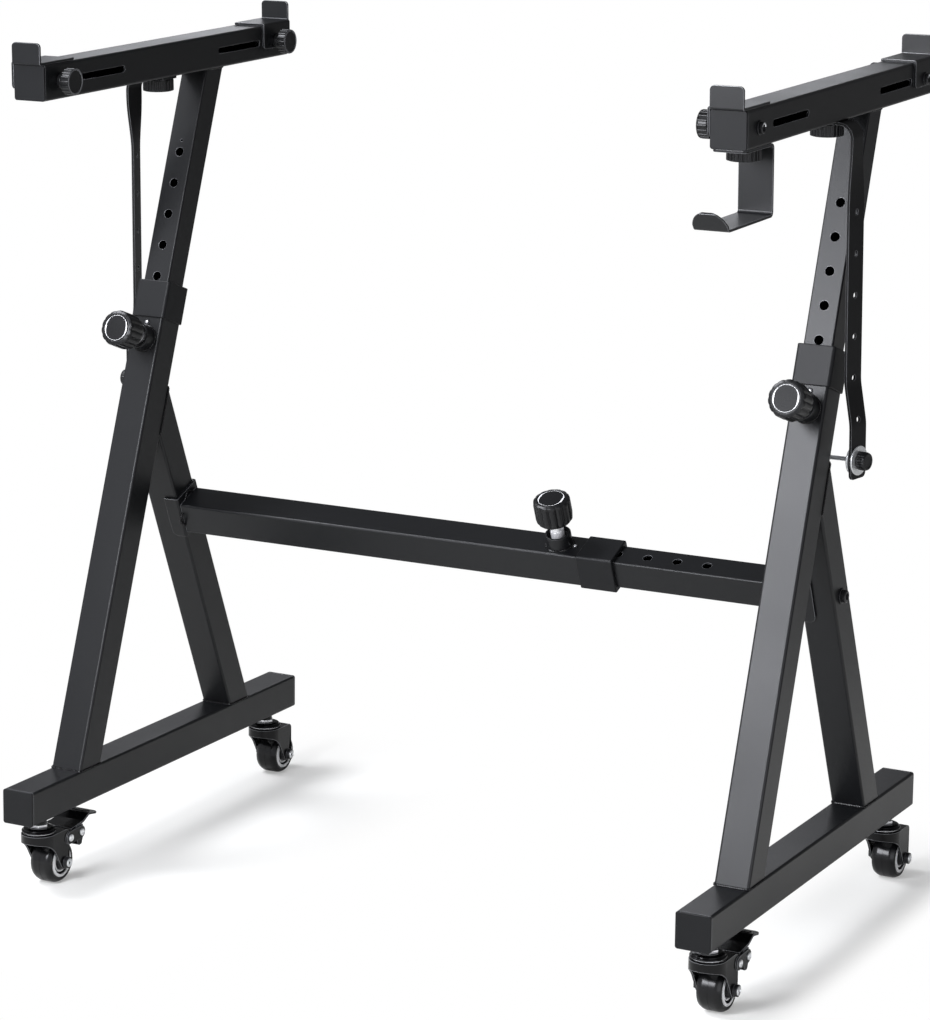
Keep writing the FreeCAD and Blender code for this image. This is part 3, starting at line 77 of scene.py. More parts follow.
# Sizes and colours that a user may change
def number_property(name, description, default, low, high, **kind):
    return bpy.props.FloatProperty(
        name=name, description=description, default=default, min=low, max=high, **kind)


def length_property(name, description, default, low, high):
    return number_property(name, description, default, low, high, unit="LENGTH")


def power_property(name, description, default):
    return number_property(name, description, default, 0.0, 1000.0, unit="POWER")


def angle_property(name, description, degrees):
    return number_property(
        name, description, math.radians(degrees), -math.pi, math.pi, subtype="ANGLE")


def colour_property(name, description, default):
    return bpy.props.FloatVectorProperty(
        name=name, description=description, default=default, size=3, min=0.0, max=1.0,
        subtype="COLOR")


def count_property(name, description, default, low, high):
    return bpy.props.IntProperty(
        name=name, description=description, default=default, min=low, max=high)


class StandCoatSettings(bpy.types.PropertyGroup):
    colour: colour_property(
        "Coat Colour", "Colour of the powder coat on all steel tubes and plates",
        (0.006, 0.0064, 0.0072))
    roughness: number_property(
        "Coat Roughness", "Mean roughness of the powder coat", 0.36, 0.0, 1.0, subtype="FACTOR")
    grain: length_property(
        "Coat Grain", "Width of the coat's orange peel grain", 0.0011, 0.0002, 0.01)
    tube_edge: length_property(
        "Tube Edge", "Width of the softened edges at tube ends and holes", 0.0004, 0.0, 0.001)
    plate_edge: length_property(
        "Plate Edge", "Width of the softened edges on stops, hook and yokes", 0.0005, 0.0, 0.001)
    bead: length_property(
        "Weld Bead", "Radius of the weld beads at the joints of tubes", 0.0017, 0.0005, 0.004)


class StandPlasticSettings(bpy.types.PropertyGroup):
    colour: colour_property(
        "Plastic Colour", "Colour of caps and collars", (0.007, 0.0074, 0.0082))
    cap_edge: length_property(
        "Cap Edge", "Width of the rounded edges on caps and collars", 0.001, 0.0, 0.0012)
    knob_colour: colour_property(
        "Knob Colour", "Colour of the knobs", (0.0055, 0.0057, 0.0062))
    mark_colour: colour_property(
        "Mark Colour", "Colour of the printed ring on the pull knobs", (0.78, 0.78, 0.78))
    lobes: count_property(
        "Pull Knob Lobes", "Number of lobes round each pull knob", 14, 6, 30)
    stop_ribs: count_property(
        "Stop Knob Ribs", "Number of ribs round each stop knob", 16, 6, 40)
    thumb_ribs: count_property(
        "Thumb Knob Ribs", "Number of ribs round the knobs under the arms", 24, 6, 60)


class StandCasterSettings(bpy.types.PropertyGroup):
    tyre_colour: colour_property(
        "Tyre Colour", "Colour of the caster tyres", (0.005, 0.005, 0.0055))
    ring_colour: colour_property(
        "Ring Colour", "Colour of the pale rings on the hubs", (0.86, 0.86, 0.86))
    strap_grain: length_property(
        "Strap Grain", "Width of the grain on the straps", 0.0009, 0.0002, 0.01)


class StandStageSettings(bpy.types.PropertyGroup):
    camera: bpy.props.FloatVectorProperty(
        name="Camera Place", description="Where the camera stands",
        subtype="TRANSLATION", unit="LENGTH", size=3, default=(1.77119, -3.3698, 1.29594))
    azimuth: angle_property("Azimuth", "Turn of the camera about the vertical", 27.79)
    elevation: angle_property("Elevation", "How far the camera looks down", 10.5)
    roll: angle_property("Roll", "Turn of the camera about its own axis", 0.67)
    lens: number_property(
        "Lens", "Focal length of the camera in millimetres", 121.95, 10.0, 500.0)
    shift: number_property("Shift", "Vertical shift of the camera's frame", -0.1275, -0.5, 0.5)
    key_power: power_property(
        "Key Power", "Power of the soft lamp in front that lights the right leg", 50.0)
    top_power: power_property("Top Power", "Power of the lamp high on the left", 72.0)
    side_power: power_property(
        "Side Power", "Power of the lamp on the right that lights the wheels", 4.3)
    rim_power: power_property(
        "Rim Power", "Power of the lamp behind that draws bright edges", 6.0)
    front: number_property(
        "Front Light", "Brightness of the studio in front of the stand", 0.9, 0.0, 4.0)
    back: number_property(
        "Back Light", "Brightness of the studio behind the stand", 0.08, 0.0, 4.0)
    floor_lift: number_property(
        "Floor Lift", "Brightness that lifts the lit floor near the feet to white", 0.28, 0.0, 1.0)


SETTINGS = {
    "stand_coat": StandCoatSettings,
    "stand_plastic": StandPlasticSettings,
    "stand_caster": StandCasterSettings,
    "stand_stage": StandStageSettings,
}


# Node trees
class Term:
    """A number socket of a node tree; arithmetic on it adds Math nodes."""

    def __init__(self, tree, socket):
        self.tree = tree
        self.socket = socket

    def math(self, operation, first, second):
        node = self.tree.add("ShaderNodeMath", {"operation": operation}, {0: first, 1: second})
        return Term(self.tree, node.outputs[0])

    def __add__(self, other):
        return self.math("ADD", self, other)

    __radd__ = __add__

    def __mul__(self, other):
        return self.math("MULTIPLY", self, other)

    __rmul__ = __mul__

    def __sub__(self, other):
        return self.math("SUBTRACT", self, other)

    def __rsub__(self, other):
        return self.math("SUBTRACT", other, self)

    def absolute(self):
        return self.math("ABSOLUTE", self, 0.0)

    def most(self, other):
        return self.math("MAXIMUM", self, other)

    def eased(self, low, high, at_low, at_high):
        """Smooth step from one value at the low limit to another at the high one."""
        node = self.tree.add("ShaderNodeMapRange", {"interpolation_type": "SMOOTHSTEP"}, {
            "Value": self, "From Min": low, "From Max": high, "To Min": at_low, "To Max": at_high})
        return Term(self.tree, node.outputs["Result"])


class NodeTree:
    """A tree that is built node by node."""

    def __init__(self, tree):
        self.tree = tree

    def add(self, kind, settings=None, sockets=None):
        node = self.tree.nodes.new(kind)
        for name, value in (settings or {}).items():
            setattr(node, name, value)
        for name, value in (sockets or {}).items():
            self.feed(node.inputs[name], value)
        return node

    def feed(self, target, value):
        if isinstance(value, Term):
            value = value.socket
        if isinstance(value, bpy.types.NodeSocket):
            self.tree.links.new(value, target)
        elif target.type == "RGBA":
            target.default_value = (*value[:3], 1.0)
        else:
            target.default_value = value


class Shader(NodeTree):
    """The tree of a material or of the world."""

    def __init__(self, owner):
        owner.use_nodes = True
        self.owner = owner
        super().__init__(owner.node_tree)
        self.tree.nodes.clear()

    def place(self):
        return self.add("ShaderNodeTexCoord").outputs["Object"]

    def noise(self, place, width, detail):
        """Noise from 0 to 1 whose lumps are about as wide as given."""
        node = self.add("ShaderNodeTexNoise", None, {
            "Vector": place, "Scale": 1.0 / width, "Detail": detail})
        return Term(self, node.outputs["Fac"])

    def tint(self, amount, first, second):
        """Colour between two colours by a term."""
        node = self.add("ShaderNodeMix", {"data_type": "RGBA"})
        self.feed(node.inputs["Factor"], amount)
        self.feed(node.inputs[6], first)
        self.feed(node.inputs[7], second)
        return node.outputs[2]

    def bump(self, height, depth):
        return self.add("ShaderNodeBump", None, {
            "Height": height, "Distance": depth, "Strength": 1.0}).outputs["Normal"]

    def glow(self, strength):
        """White light of its own."""
        node = self.add("ShaderNodeEmission", None, {"Color": WHITE, "Strength": strength})
        return node.outputs["Emission"]

    def mixed(self, share, first, second):
        """Shader between two shaders by a term."""
        node = self.add("ShaderNodeMixShader", None, {0: share, 1: first, 2: second})
        return node.outputs["Shader"]

    def seen(self, mirror_share):
        """1 for rays from the camera or through glass, a share by a mirror, and 0 for light."""
        path = self.add("ShaderNodeLightPath")
        camera, glass, mirror = [Term(self, path.outputs[name]) for name in (
            "Is Camera Ray", "Is Transmission Ray", "Is Glossy Ray")]
        return camera.most(glass).most(mirror * mirror_share)

    def finish(self, surface):
        kind = "World" if isinstance(self.owner, bpy.types.World) else "Material"
        output = self.add("ShaderNodeOutput" + kind)
        self.feed(output.inputs["Surface"], surface)
        return self.owner


def shade(colour, factor):
    return tuple(min(1.0, channel * factor) for channel in colour)


def surface_material(name, colour, roughness, grain, metallic=0.0, depth=0.00001, cloud=0.12,
                     spread=0.08, specular=0.5, contrast=0.18):
    """Finish with fine grain in its bump and slow clouds in its colour and roughness. Grain,
    depth and cloud are in metres; spread is in roughness, contrast a share of the colour."""
    shader = Shader(bpy.data.materials.new(name))
    place = shader.place()
    clouds = shader.noise(place, cloud, detail=3.0)
    fine = shader.noise(place, grain, detail=2.0)
    speckle = shader.noise(place, grain / 3, detail=1.0)
    blotch = clouds * 0.65 + fine * 0.35
    tinted = shader.tint(blotch, shade(colour, 1 - contrast), shade(colour, 1 + contrast))
    uneven = roughness + (clouds - 0.5) * spread + (fine - 0.5) * spread
    rippled = shader.bump(fine * 0.8 + speckle * 0.2, depth)
    principled = shader.add("ShaderNodeBsdfPrincipled", None, {
        "Base Color": tinted, "Metallic": metallic, "Roughness": uneven, "Normal": rippled,
        "Specular IOR Level": specular})
    return shader.finish(principled.outputs["BSDF"])


MATERIALS = {}


def make_materials(scene):
    coat, plastic, caster = scene.stand_coat, scene.stand_plastic, scene.stand_caster
    finishes = {
        "coat": ("powder_coat", coat.colour, coat.roughness, {
            "grain": coat.grain, "depth": 0.00003, "specular": 0.3, "spread": 0.1}),
        "cap": ("moulded_cap_plastic", plastic.colour, 0.44, {
            "grain": 0.0006, "depth": 0.00002, "specular": 0.21}),
        "knob": ("knob_plastic", plastic.knob_colour, 0.32, {
            "grain": 0.0005, "depth": 0.000012, "specular": 0.32}),
        "face": ("knob_face_plastic", shade(plastic.knob_colour, 1.1), 0.46, {
            "grain": 0.0004, "depth": 0.000006, "specular": 0.18}),
        # Painted highlight: light grey on the bevel faces of softened edges, standing in for the
        # light that rounded edges catch
        "edge": ("burnished_edge", (0.11, 0.112, 0.118), 0.26, {
            "grain": 0.0006, "specular": 0.7}),
        "gloss": ("gloss_black_steel", (0.003, 0.003, 0.0034), 0.2, {
            "grain": 0.0009, "cloud": 0.02, "specular": 0.24}),
        "mark": ("printed_mark", plastic.mark_colour, 0.5, {
            "grain": 0.0004, "depth": 0.000004, "contrast": 0.06}),
        "zinc": ("zinc_plated_steel", (0.86, 0.87, 0.88), 0.3, {
            "metallic": 0.75, "grain": 0.0008, "cloud": 0.01, "contrast": 0.1}),
        # Chrome only partly metallic: its white diffuse share is a painted reflection of a bright
        # studio, on the pin necks and in the swivel races' groove
        "chrome": ("chromed_steel", (0.93, 0.93, 0.95), 0.18, {
            "metallic": 0.45, "grain": 0.0006, "depth": 0.000004, "cloud": 0.008, "spread": 0.05,
            "contrast": 0.04}),
        "blackened": ("blackened_steel", (0.03, 0.03, 0.032), 0.34, {
            "metallic": 0.6, "grain": 0.0007, "cloud": 0.01}),
        "tyre": ("tyre_polyurethane", caster.tyre_colour, 0.24, {
            "grain": 0.0012, "cloud": 0.02, "specular": 0.3}),
        "hub": ("hub_plastic", (0.02, 0.02, 0.021), 0.4, {"grain": 0.0006, "cloud": 0.02}),
        "ring": ("pale_hub_ring", caster.ring_colour, 0.36, {
            "grain": 0.0006, "depth": 0.000006, "cloud": 0.01, "contrast": 0.06}),
        "strap": ("strap_rubber", (0.007, 0.007, 0.0075), 0.42, {
            "grain": caster.strap_grain, "depth": 0.00003, "cloud": 0.05, "specular": 0.16}),
    }
    for key, (name, colour, roughness, finish) in finishes.items():
        MATERIALS[key] = surface_material(name, colour, roughness, **finish)


# Geometry Nodes trees
class Growth(NodeTree):
    """A Geometry Nodes tree with named inputs."""

    def __init__(self, name, geometry):
        super().__init__(bpy.data.node_groups.new(name, "GeometryNodeTree"))
        self.socket("Geometry", "Geometry", "OUTPUT")
        self.socket(geometry, "Geometry")
        self.entry = self.tree.nodes.new("NodeGroupInput")

    def socket(self, name, kind, way="INPUT"):
        return self.tree.interface.new_socket(name, in_out=way, socket_type="NodeSocket" + kind)

    def input(self, name, kind, default=None):
        socket = self.socket(name, kind)
        if default is not None:
            socket.default_value = default
        return Term(self, self.entry.outputs[name])

    def turned(self, axis, vector):
        """Rotation that brings an axis along a vector."""
        return self.add("FunctionNodeAlignRotationToVector", {"axis": axis}, {
            "Vector": vector}).outputs["Rotation"]

    def finish(self, instances, material):
        """Realize the instances, give them their material and end the tree."""
        real = self.add("GeometryNodeRealizeInstances", None, {"Geometry": instances})
        painted = self.add("GeometryNodeSetMaterial", None, {
            "Geometry": real.outputs["Geometry"], "Material": material})
        self.add("NodeGroupOutput", None, {"Geometry": painted.outputs["Geometry"]})
        return self.tree


def rib_ring_tree():
    """One rib, drawn along Z and facing +X, repeated round the Z axis."""
    tree = Growth("Rib Ring", "Rib")
    ribs = tree.input("Ribs", "Int", 16)
    radius = tree.input("Ring Radius", "Float", 0.015)
    material = tree.input("Material", "Material")
    circle = tree.add("GeometryNodeMeshCircle", None, {"Vertices": ribs, "Radius": radius})
    outward = tree.turned("X", tree.add("GeometryNodeInputPosition").outputs["Position"])
    ring = tree.add("GeometryNodeInstanceOnPoints", None, {
        "Points": circle.outputs["Mesh"], "Instance": tree.entry.outputs["Rib"],
        "Rotation": outward})
    return tree.finish(ring.outputs["Instances"], material)


def weld_bead_tree():
    """Overlapping ripples of weld metal along a path."""
    tree = Growth("Weld Bead", "Path")
    pitch = tree.input("Ripple Pitch", "Float", 0.002)
    radius = tree.input("Bead Radius", "Float", 0.0017)
    unevenness = tree.input("Unevenness", "Float", 0.12)
    seed = tree.input("Seed", "Int", 3)
    material = tree.input("Material", "Material")
    path = tree.add("GeometryNodeResampleCurve", {"mode": "LENGTH"}, {
        "Curve": tree.entry.outputs["Path"], "Length": pitch})
    ring = tree.add("GeometryNodeCurvePrimitiveCircle", None, {
        "Resolution": 8, "Radius": radius * 0.8})
    core = tree.add("GeometryNodeCurveToMesh", None, {
        "Curve": path.outputs["Curve"], "Profile Curve": ring.outputs["Curve"]})
    ripple = tree.add("GeometryNodeMeshUVSphere", None, {
        "Segments": 10, "Rings": 6, "Radius": radius})
    size = tree.add("FunctionNodeRandomValue", {"data_type": "FLOAT"}, {
        "Min": 1.0 - unevenness, "Max": 1.0, "Seed": seed}).outputs[1]
    along = tree.turned("Z", tree.add("GeometryNodeInputTangent").outputs["Tangent"])
    flat = tree.add("ShaderNodeCombineXYZ", None, {"X": size, "Y": size, "Z": 0.62})
    ripples = tree.add("GeometryNodeInstanceOnPoints", None, {
        "Points": path.outputs["Curve"], "Instance": ripple.outputs["Mesh"],
        "Rotation": along, "Scale": flat.outputs["Vector"]})
    both = tree.add("GeometryNodeJoinGeometry", None, {"Geometry": core.outputs["Mesh"]})
    tree.feed(both.inputs["Geometry"], ripples.outputs["Instances"])
    return tree.finish(both.outputs["Geometry"], material)


def fastener_tree():
    """A fastener, drawn along +Z, set at each point and turned along its facing."""
    tree = Growth("Fasteners", "Points")
    fastener = tree.input("Fastener", "Object")
    material = tree.input("Material", "Material")
    shape = tree.add("GeometryNodeObjectInfo", {"transform_space": "ORIGINAL"}, {
        "Object": fastener})
    facing = tree.add("GeometryNodeInputNamedAttribute", {"data_type": "FLOAT_VECTOR"}, {
        "Name": "facing"})
    spread = tree.add("GeometryNodeInstanceOnPoints", None, {
        "Points": tree.entry.outputs["Points"], "Instance": shape.outputs["Geometry"],
        "Rotation": tree.turned("Z", facing.outputs["Attribute"])})
    return tree.finish(spread.outputs["Instances"], material)


TREES = {}


def make_trees():
    TREES["ribs"] = rib_ring_tree()
    TREES["weld"] = weld_bead_tree()
    TREES["fasteners"] = fastener_tree()


def grown(tree, data, **inputs):
    """Plain mesh that a tree makes from the given mesh or curve."""
    carrier = bpy.data.objects.new("growing", data)
    bpy.context.scene.collection.objects.link(carrier)
    modifier = carrier.modifiers.new("Nodes", "NODES")
    modifier.node_group = tree
    named = {name.replace("_", " "): value for name, value in inputs.items()}
    for item in tree.interface.items_tree:
        if item.in_out == "INPUT" and item.name in named:
            modifier[item.identifier] = named[item.name]
    result = plain_mesh(carrier)
    carrier.modifiers.remove(modifier)
    bpy.data.objects.remove(carrier)
    return result


def plain_mesh(item):
    bpy.context.view_layer.update()
    graph = bpy.context.evaluated_depsgraph_get()
    return bpy.data.meshes.new_from_object(item.evaluated_get(graph), depsgraph=graph)


# Drawing helpers; outlines are in millimetres
def rounded(corners, steps=4, closed=True):
    """Points along an outline of (x, y, radius) corners with an arc at each radius."""
    points = []
    for index, (x, y, radius) in enumerate(corners):
        corner = Vector((x, y))
        at_end = not closed and index in (0, len(corners) - 1)
        if radius <= 0 or at_end:
            points.append((x, y))
            continue
        last, following = corners[index - 1], corners[(index + 1) % len(corners)]
        to_last = (Vector(last[:2]) - corner).normalized()
        to_next = (Vector(following[:2]) - corner).normalized()
        half = to_last.angle(to_next) / 2
        reach = radius / math.tan(half)
        centre = corner + (to_last + to_next).normalized() * (radius / math.sin(half))
        start = corner + to_last * reach - centre
        end = corner + to_next * reach - centre
        turn = start.angle_signed(end)
        for step in range(steps + 1):
            spoke = start.copy()
            spoke.rotate(Matrix.Rotation(-turn * step / steps, 2))
            points.append((centre.x + spoke.x, centre.y + spoke.y))
    return points


def lathe_mesh(profile, segments=48, ripple=None, closed=False, bands=()):
    """Turn (radius, height) points about +Z. A point on the axis closes that end. Each band
    is a test on the point where a strip starts and its angle, and the material it gives."""
    mesh = bmesh.new()
    rings = []
    for radius, height in profile:
        if radius < 1e-6:
            rings.append([mesh.verts.new((0, 0, height * MM))])
            continue
        ring = []
        for step in range(segments):
            angle = 2 * math.pi * step / segments
            reach = radius + (ripple(angle, radius, height) if ripple else 0.0)
            ring.append(mesh.verts.new((reach * MM * math.cos(angle), reach * MM * math.sin(angle),
                                        height * MM)))
        rings.append(ring)
    pairs = list(zip(rings, rings[1:]))
    if closed:
        pairs.append((rings[-1], rings[0]))
    for index, (low, high) in enumerate(pairs):
        for step in range(segments):
            after = (step + 1) % segments
            if len(low) == 1:
                corners = (low[0], high[after], high[step])
            elif len(high) == 1:
                corners = (low[step], low[after], high[0])
            else:
                corners = (low[step], low[after], high[after], high[step])
            face = mesh.faces.new(corners)
            for test, material in bands:
                if test(profile[index], 2 * math.pi * (step + 0.5) / segments):
                    face.material_index = material
    bmesh.ops.recalc_face_normals(mesh, faces=mesh.faces)
    return mesh


def turned(corners, segments=48, steps=3, closed=False, **extras):
    """Turn an outline of (radius, height, corner radius) about +Z."""
    return lathe_mesh(rounded(corners, steps, closed), segments, closed=closed, **extras)


def rectangle(half_x, half_y, corner, steps=3):
    """Outline of a rounded rectangle about the origin."""
    quarters = ((-1, -1), (1, -1), (1, 1), (-1, 1))
    return rounded([(x * half_x, y * half_y, corner) for x, y in quarters], steps)


def hexagon(radius):
    return [(radius * math.cos(math.pi * k / 3), radius * math.sin(math.pi * k / 3))
            for k in range(6)]


def prism_mesh(outline, height, edge=0.0, steps=2):
    """Solid along +Z over a closed outline, with its rims softened."""
    mesh = bmesh.new()
    base = mesh.faces.new([mesh.verts.new((x * MM, y * MM, 0)) for x, y in outline])
    grown_up = bmesh.ops.extrude_face_region(mesh, geom=[base])
    top = [item for item in grown_up["geom"] if isinstance(item, bmesh.types.BMVert)]
    bmesh.ops.translate(mesh, vec=(0, 0, height * MM), verts=top)
    bmesh.ops.recalc_face_normals(mesh, faces=mesh.faces)
    if edge > 0:
        soften(mesh, edge * MM, steps)
    return mesh


def soften(mesh, width, steps=2, material=-1):
    """Bevel the sharp edges of a mesh, with a material of their own if one is given."""
    edges = [edge for edge in mesh.edges
             if len(edge.link_faces) == 2 and edge.calc_face_angle(0.0) > SHARP_EDGE]
    bmesh.ops.bevel(mesh, geom=edges, offset=width, offset_type="OFFSET", segments=steps,
                    profile=0.5, affect="EDGES", clamp_overlap=False, material=material)


def node_mesh(node):
    """Merged copy of a sub-part's triangles, with its flat faces whole again."""
    mesh = bmesh.new()
    mesh.from_mesh(frame["nodes"][node].data)
    bmesh.ops.remove_doubles(mesh, verts=mesh.verts, dist=MERGE_DISTANCE)
    bmesh.ops.dissolve_limit(mesh, angle_limit=math.radians(0.6), verts=mesh.verts,
                             edges=mesh.edges)
    for face in mesh.faces:
        face.material_index = 0
    return mesh


def softened_node(node, width, steps=2, material=1):
    """Merged copy of a sub-part whose sharp edges are softened; the bevel faces take the given
    material, which every caller makes the painted edge highlight.
    """
    mesh = node_mesh(node)
    soften(mesh, width, steps, material)
    return mesh


def plain_copy(part):
    """Plain mesh of a bmesh, which is freed."""
    data = bpy.data.meshes.new("part")
    part.to_mesh(data)
    part.free()
    return data


class Form:
    """Parts of several materials, joined into the mesh of one piece."""

    def __init__(self, *materials):
        self.materials = [MATERIALS[name] for name in materials]
        self.mesh = bmesh.new()

    def add(self, part, place=None, material=None):
        """Take in a bmesh; its faces keep their material or all take the given one."""
        if material is not None:
            for face in part.faces:
                face.material_index = material
        if place is not None:
            bmesh.ops.transform(part, matrix=place, verts=part.verts)
        plain = plain_copy(part)
        self.mesh.from_mesh(plain)
        bpy.data.meshes.remove(plain)
        return self

    def take(self, data, place=None, material=0):
        """Take in a plain mesh, all in one material."""
        part = bmesh.new()
        part.from_mesh(data)
        bpy.data.meshes.remove(data)
        return self.add(part, place, material)

    def paint(self, material, test):
        """Give the faces whose middle passes the test another material."""
        for face in self.mesh.faces:
            if test(face.calc_center_median()):
                face.material_index = material
        return self

    def finish(self, name, body, slot, *nodes):
        """Make the piece's object, smooth it, let it ride and stand for its nodes."""
        data = bpy.data.meshes.new(name)
        self.mesh.to_mesh(data)
        self.mesh.free()
        for material in self.materials:
            data.materials.append(material)
        data.shade_smooth()
        data.set_sharp_from_angle(angle=SMOOTH_ANGLE)
        piece = bpy.data.objects.new(name, data)
        bpy.context.scene.collection.objects.link(piece)
        weighted = piece.modifiers.new("Weighted", "WEIGHTED_NORMAL")
        weighted.keep_sharp = True
        weighted.weight = 80
        final = plain_mesh(piece)
        piece.modifiers.remove(weighted)
        piece.data = final
        bpy.data.meshes.remove(data)
        final.name = name
        if body is not None:
            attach(piece, body)
        if nodes:
            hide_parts(*nodes)
        return piece


# Places on the stand, read from its joints and sub-parts
def axis_place(point, axis):
    """Frame with its origin at a point and +Z along an axis."""
    turn = Vector(axis).to_track_quat("Z", "Y").to_matrix().to_4x4()
    return Matrix.Translation(point) @ turn


def lifted(place, height):
    """A frame moved along its own +Z, in millimetres."""
    return place @ Matrix.Translation((0, 0, height * MM))


def joint_point(name):
    return Vector(JOINTS[name]["pos_m"])


def joint_axis(name):
    return Vector(JOINTS[name]["axis"]).normalized()


def joint_place(name):
    """Frame at a joint, +Z along its axis."""
    return axis_place(joint_point(name), joint_axis(name))


def node_span(node, place):
    """Lowest and highest height of a sub-part along a frame's +Z, in millimetres."""
    back = place.inverted()
    heights = [(back @ vertex.co).z for vertex in frame["nodes"][node].data.vertices]
    return min(heights) / MM, max(heights) / MM


# Millimetres: how far a pull knob's joint lies from the axis of its tube, the sections of the
# tubes, the bosses on them, the reach of a screw and of the mark from a pin, and how far a
# strap knob's joint lies under the arm
PIN_POINT = 60.0
HALF_TUBE = 20.0
INNER_HALF_TUBE = 17.0
TUBE_CORNER = 3.0
SADDLE_WALL = 3.0
BOSS_RADIUS = 15.0
BOSS_TOP = 36.4
SCREW_REACH = 19.2
MARK_HEIGHT = 239.0
STRAP_KNOB_DROP = 10.0


def pin_place(name):
    """Frame on a tube's axis at its spring pin, +Z out along the pin."""
    return lifted(joint_place(name), -PIN_POINT)


def leg_axis(side):
    """Upward direction of a leg."""
    return joint_axis(side + "_height_slide")


def side_pins(side):
    """Pins on a side frame: name of the pin, then name of its knob's joint."""
    pins = {side + "_leg": side + "_leg_knob_turn"}
    if side == "left":
        pins["crossbar"] = "crossbar_knob_turn"
    return pins


# Tubes
TUBE_NODES = {
    "left_frame": ("left_foot_tube", "left_leg_outer_tube", "left_rear_brace",
                   "crossbar_outer_tube"),
    "right_frame": ("right_foot_tube", "right_leg_outer_tube", "right_rear_brace",
                    "crossbar_inner_tube"),
    "left_upper": ("left_leg_inner_tube", "left_arm_tube"),
    "right_upper": ("right_leg_inner_tube", "right_arm_tube"),
}


def make_tubes(scene):
    for body, nodes in TUBE_NODES.items():
        for node in nodes:
            form = Form("coat", "edge").add(softened_node(node, scene.stand_coat.tube_edge))
            if node == "right_leg_inner_tube":
                form.add(*mark_plug("right"))
            form.finish(node + "_coated", body, "powder_coat", node)


def mark_plug(side):
    """Coat that fills the small mark hole above the row of pin holes."""
    place = pin_place(side + "_leg_knob_turn")
    place.translation += leg_axis(side) * MARK_HEIGHT * MM
    profile = [(0, 14.5), (1.4, 14.5), (1.4, 16.5), (2.2, 16.9), (2.2, 17.02), (0, 17.02)]
    return lathe_mesh(profile, segments=24), place


# Weld beads
def closed_curve(spots):
    curve = bpy.data.curves.new("path", "CURVE")
    curve.dimensions = "3D"
    spline = curve.splines.new("POLY")
    spline.points.add(len(spots) - 1)
    for point, spot in zip(spline.points, spots):
        point.co = (*spot, 1.0)
    spline.use_cyclic_u = True
    return curve


def square_path(place, half_x, half_y):
    """Closed curve round a tube's section in the XY plane of a frame."""
    outline = rectangle(half_x, half_y, TUBE_CORNER)
    return closed_curve([place @ Vector((x * MM, y * MM, 0)) for x, y in outline])


def circle_path(place, radius, height, steps=40):
    turns = [2 * math.pi * step / steps for step in range(steps)]
    spots = [Vector((radius * math.cos(turn), radius * math.sin(turn), height)) for turn in turns]
    return closed_curve([place @ (spot * MM) for spot in spots])


def plane_place(point, normal):
    """Frame in a plane: +X stays the stand's X, +Z is the plane's normal."""
    out = Vector(normal).normalized()
    turn = Matrix((ACROSS, out.cross(ACROSS), out)).transposed().to_4x4()
    return Matrix.Translation(point) @ turn


def meeting(point, direction, plane_point, normal):
    """Where a line meets a plane."""
    reach = (plane_point - point).dot(normal) / direction.dot(normal)
    return point + direction * reach


def weld_paths(side):
    """Closed paths of the weld beads on a side frame and on its upper part."""
    sign = SIDES[side]
    leg_up = leg_axis(side)
    leg_point = pin_place(side + "_leg_knob_turn").translation
    bar_point = pin_place("crossbar_knob_turn").translation
    brace_up = joint_axis("crossbar_pin_pull")
    brace_point = Vector((leg_point.x, bar_point.y, bar_point.z))
    foot_top = Vector((0, 0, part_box(side + "_foot_tube")[1].z))
    half = HALF_TUBE
    lower = []
    for point, rising in ((leg_point, leg_up), (brace_point, brace_up)):
        spot = meeting(point, rising, foot_top, UP)
        lower.append(square_path(plane_place(spot, UP), half, half / rising.z))
    leg_back = Vector((0, leg_up.z, -leg_up.y))
    spot = meeting(brace_point, brace_up, leg_point + leg_back * half * MM, leg_back)
    lower.append(square_path(plane_place(spot, leg_back), half, half / abs(brace_up.dot(leg_back))))
    saddle_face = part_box("left_leg_outer_tube")[1].x + SADDLE_WALL * MM
    across = axis_place((sign * abs(saddle_face), bar_point.y, bar_point.z), (-sign, 0, 0))
    tilt = math.atan2(-brace_up.y, brace_up.z)
    size = half if side == "left" else INNER_HALF_TUBE
    lower.append(square_path(across @ Matrix.Rotation(tilt * sign, 4, "Z"), size, size))
    for pin in side_pins(side).values():
        lower.append(circle_path(pin_place(pin), BOSS_RADIUS + 0.2, HALF_TUBE + 0.2))
    arm_up = -joint_axis(side + "_strap_knob_turn")
    arm_point = joint_point(side + "_strap_knob_turn") + arm_up * STRAP_KNOB_DROP * MM
    spot = meeting(leg_point, leg_up, arm_point, arm_up)
    inner = INNER_HALF_TUBE
    upper = [square_path(plane_place(spot, arm_up), inner, inner / leg_up.dot(arm_up))]
    return {side + "_frame": lower, side + "_upper": upper}


def make_welds(scene):
    bead = scene.stand_coat.bead
    pitch = bead * 1.15
    for side in SIDES:
        for body, paths in weld_paths(side).items():
            form = Form("gloss")
            for seed, path in enumerate(paths):
                form.take(grown(TREES["weld"], path, Ripple_Pitch=pitch, Bead_Radius=bead,
                                Seed=seed, Material=MATERIALS["gloss"]))
            form.finish(body + "_weld_beads", body, "powder_coat")


# Plastic caps and collars
CAP_NODES = {
    "left_frame": ("left_foot_end_caps", "left_collars"),
    "right_frame": ("right_foot_end_caps", "right_leg_collar"),
    "left_upper": ("left_arm_end_caps",),
    "right_upper": ("right_arm_end_caps",),
}
# A collar that lies more millimetres than this above the crossbar's pin is a leg's
LEG_COLLAR_RISE = 60.0
END_CAP_SHARE = 0.6


def paint_seam_shade(collars, side):
    """Painted shade at the end of each collar that sits on the outer tube: its bevel faces turned
    toward that tube take the dark strap material in place of the painted edge highlight.
    """
    bar_top = pin_place("crossbar_knob_turn").translation.z + LEG_COLLAR_RISE * MM
    collars.normal_update()
    for face in collars.faces:
        on_leg = face.calc_center_median().z > bar_top
        inward = leg_axis(side) if on_leg else ACROSS
        if face.material_index == 1 and face.normal.dot(inward) < -0.1:
            face.material_index = 2


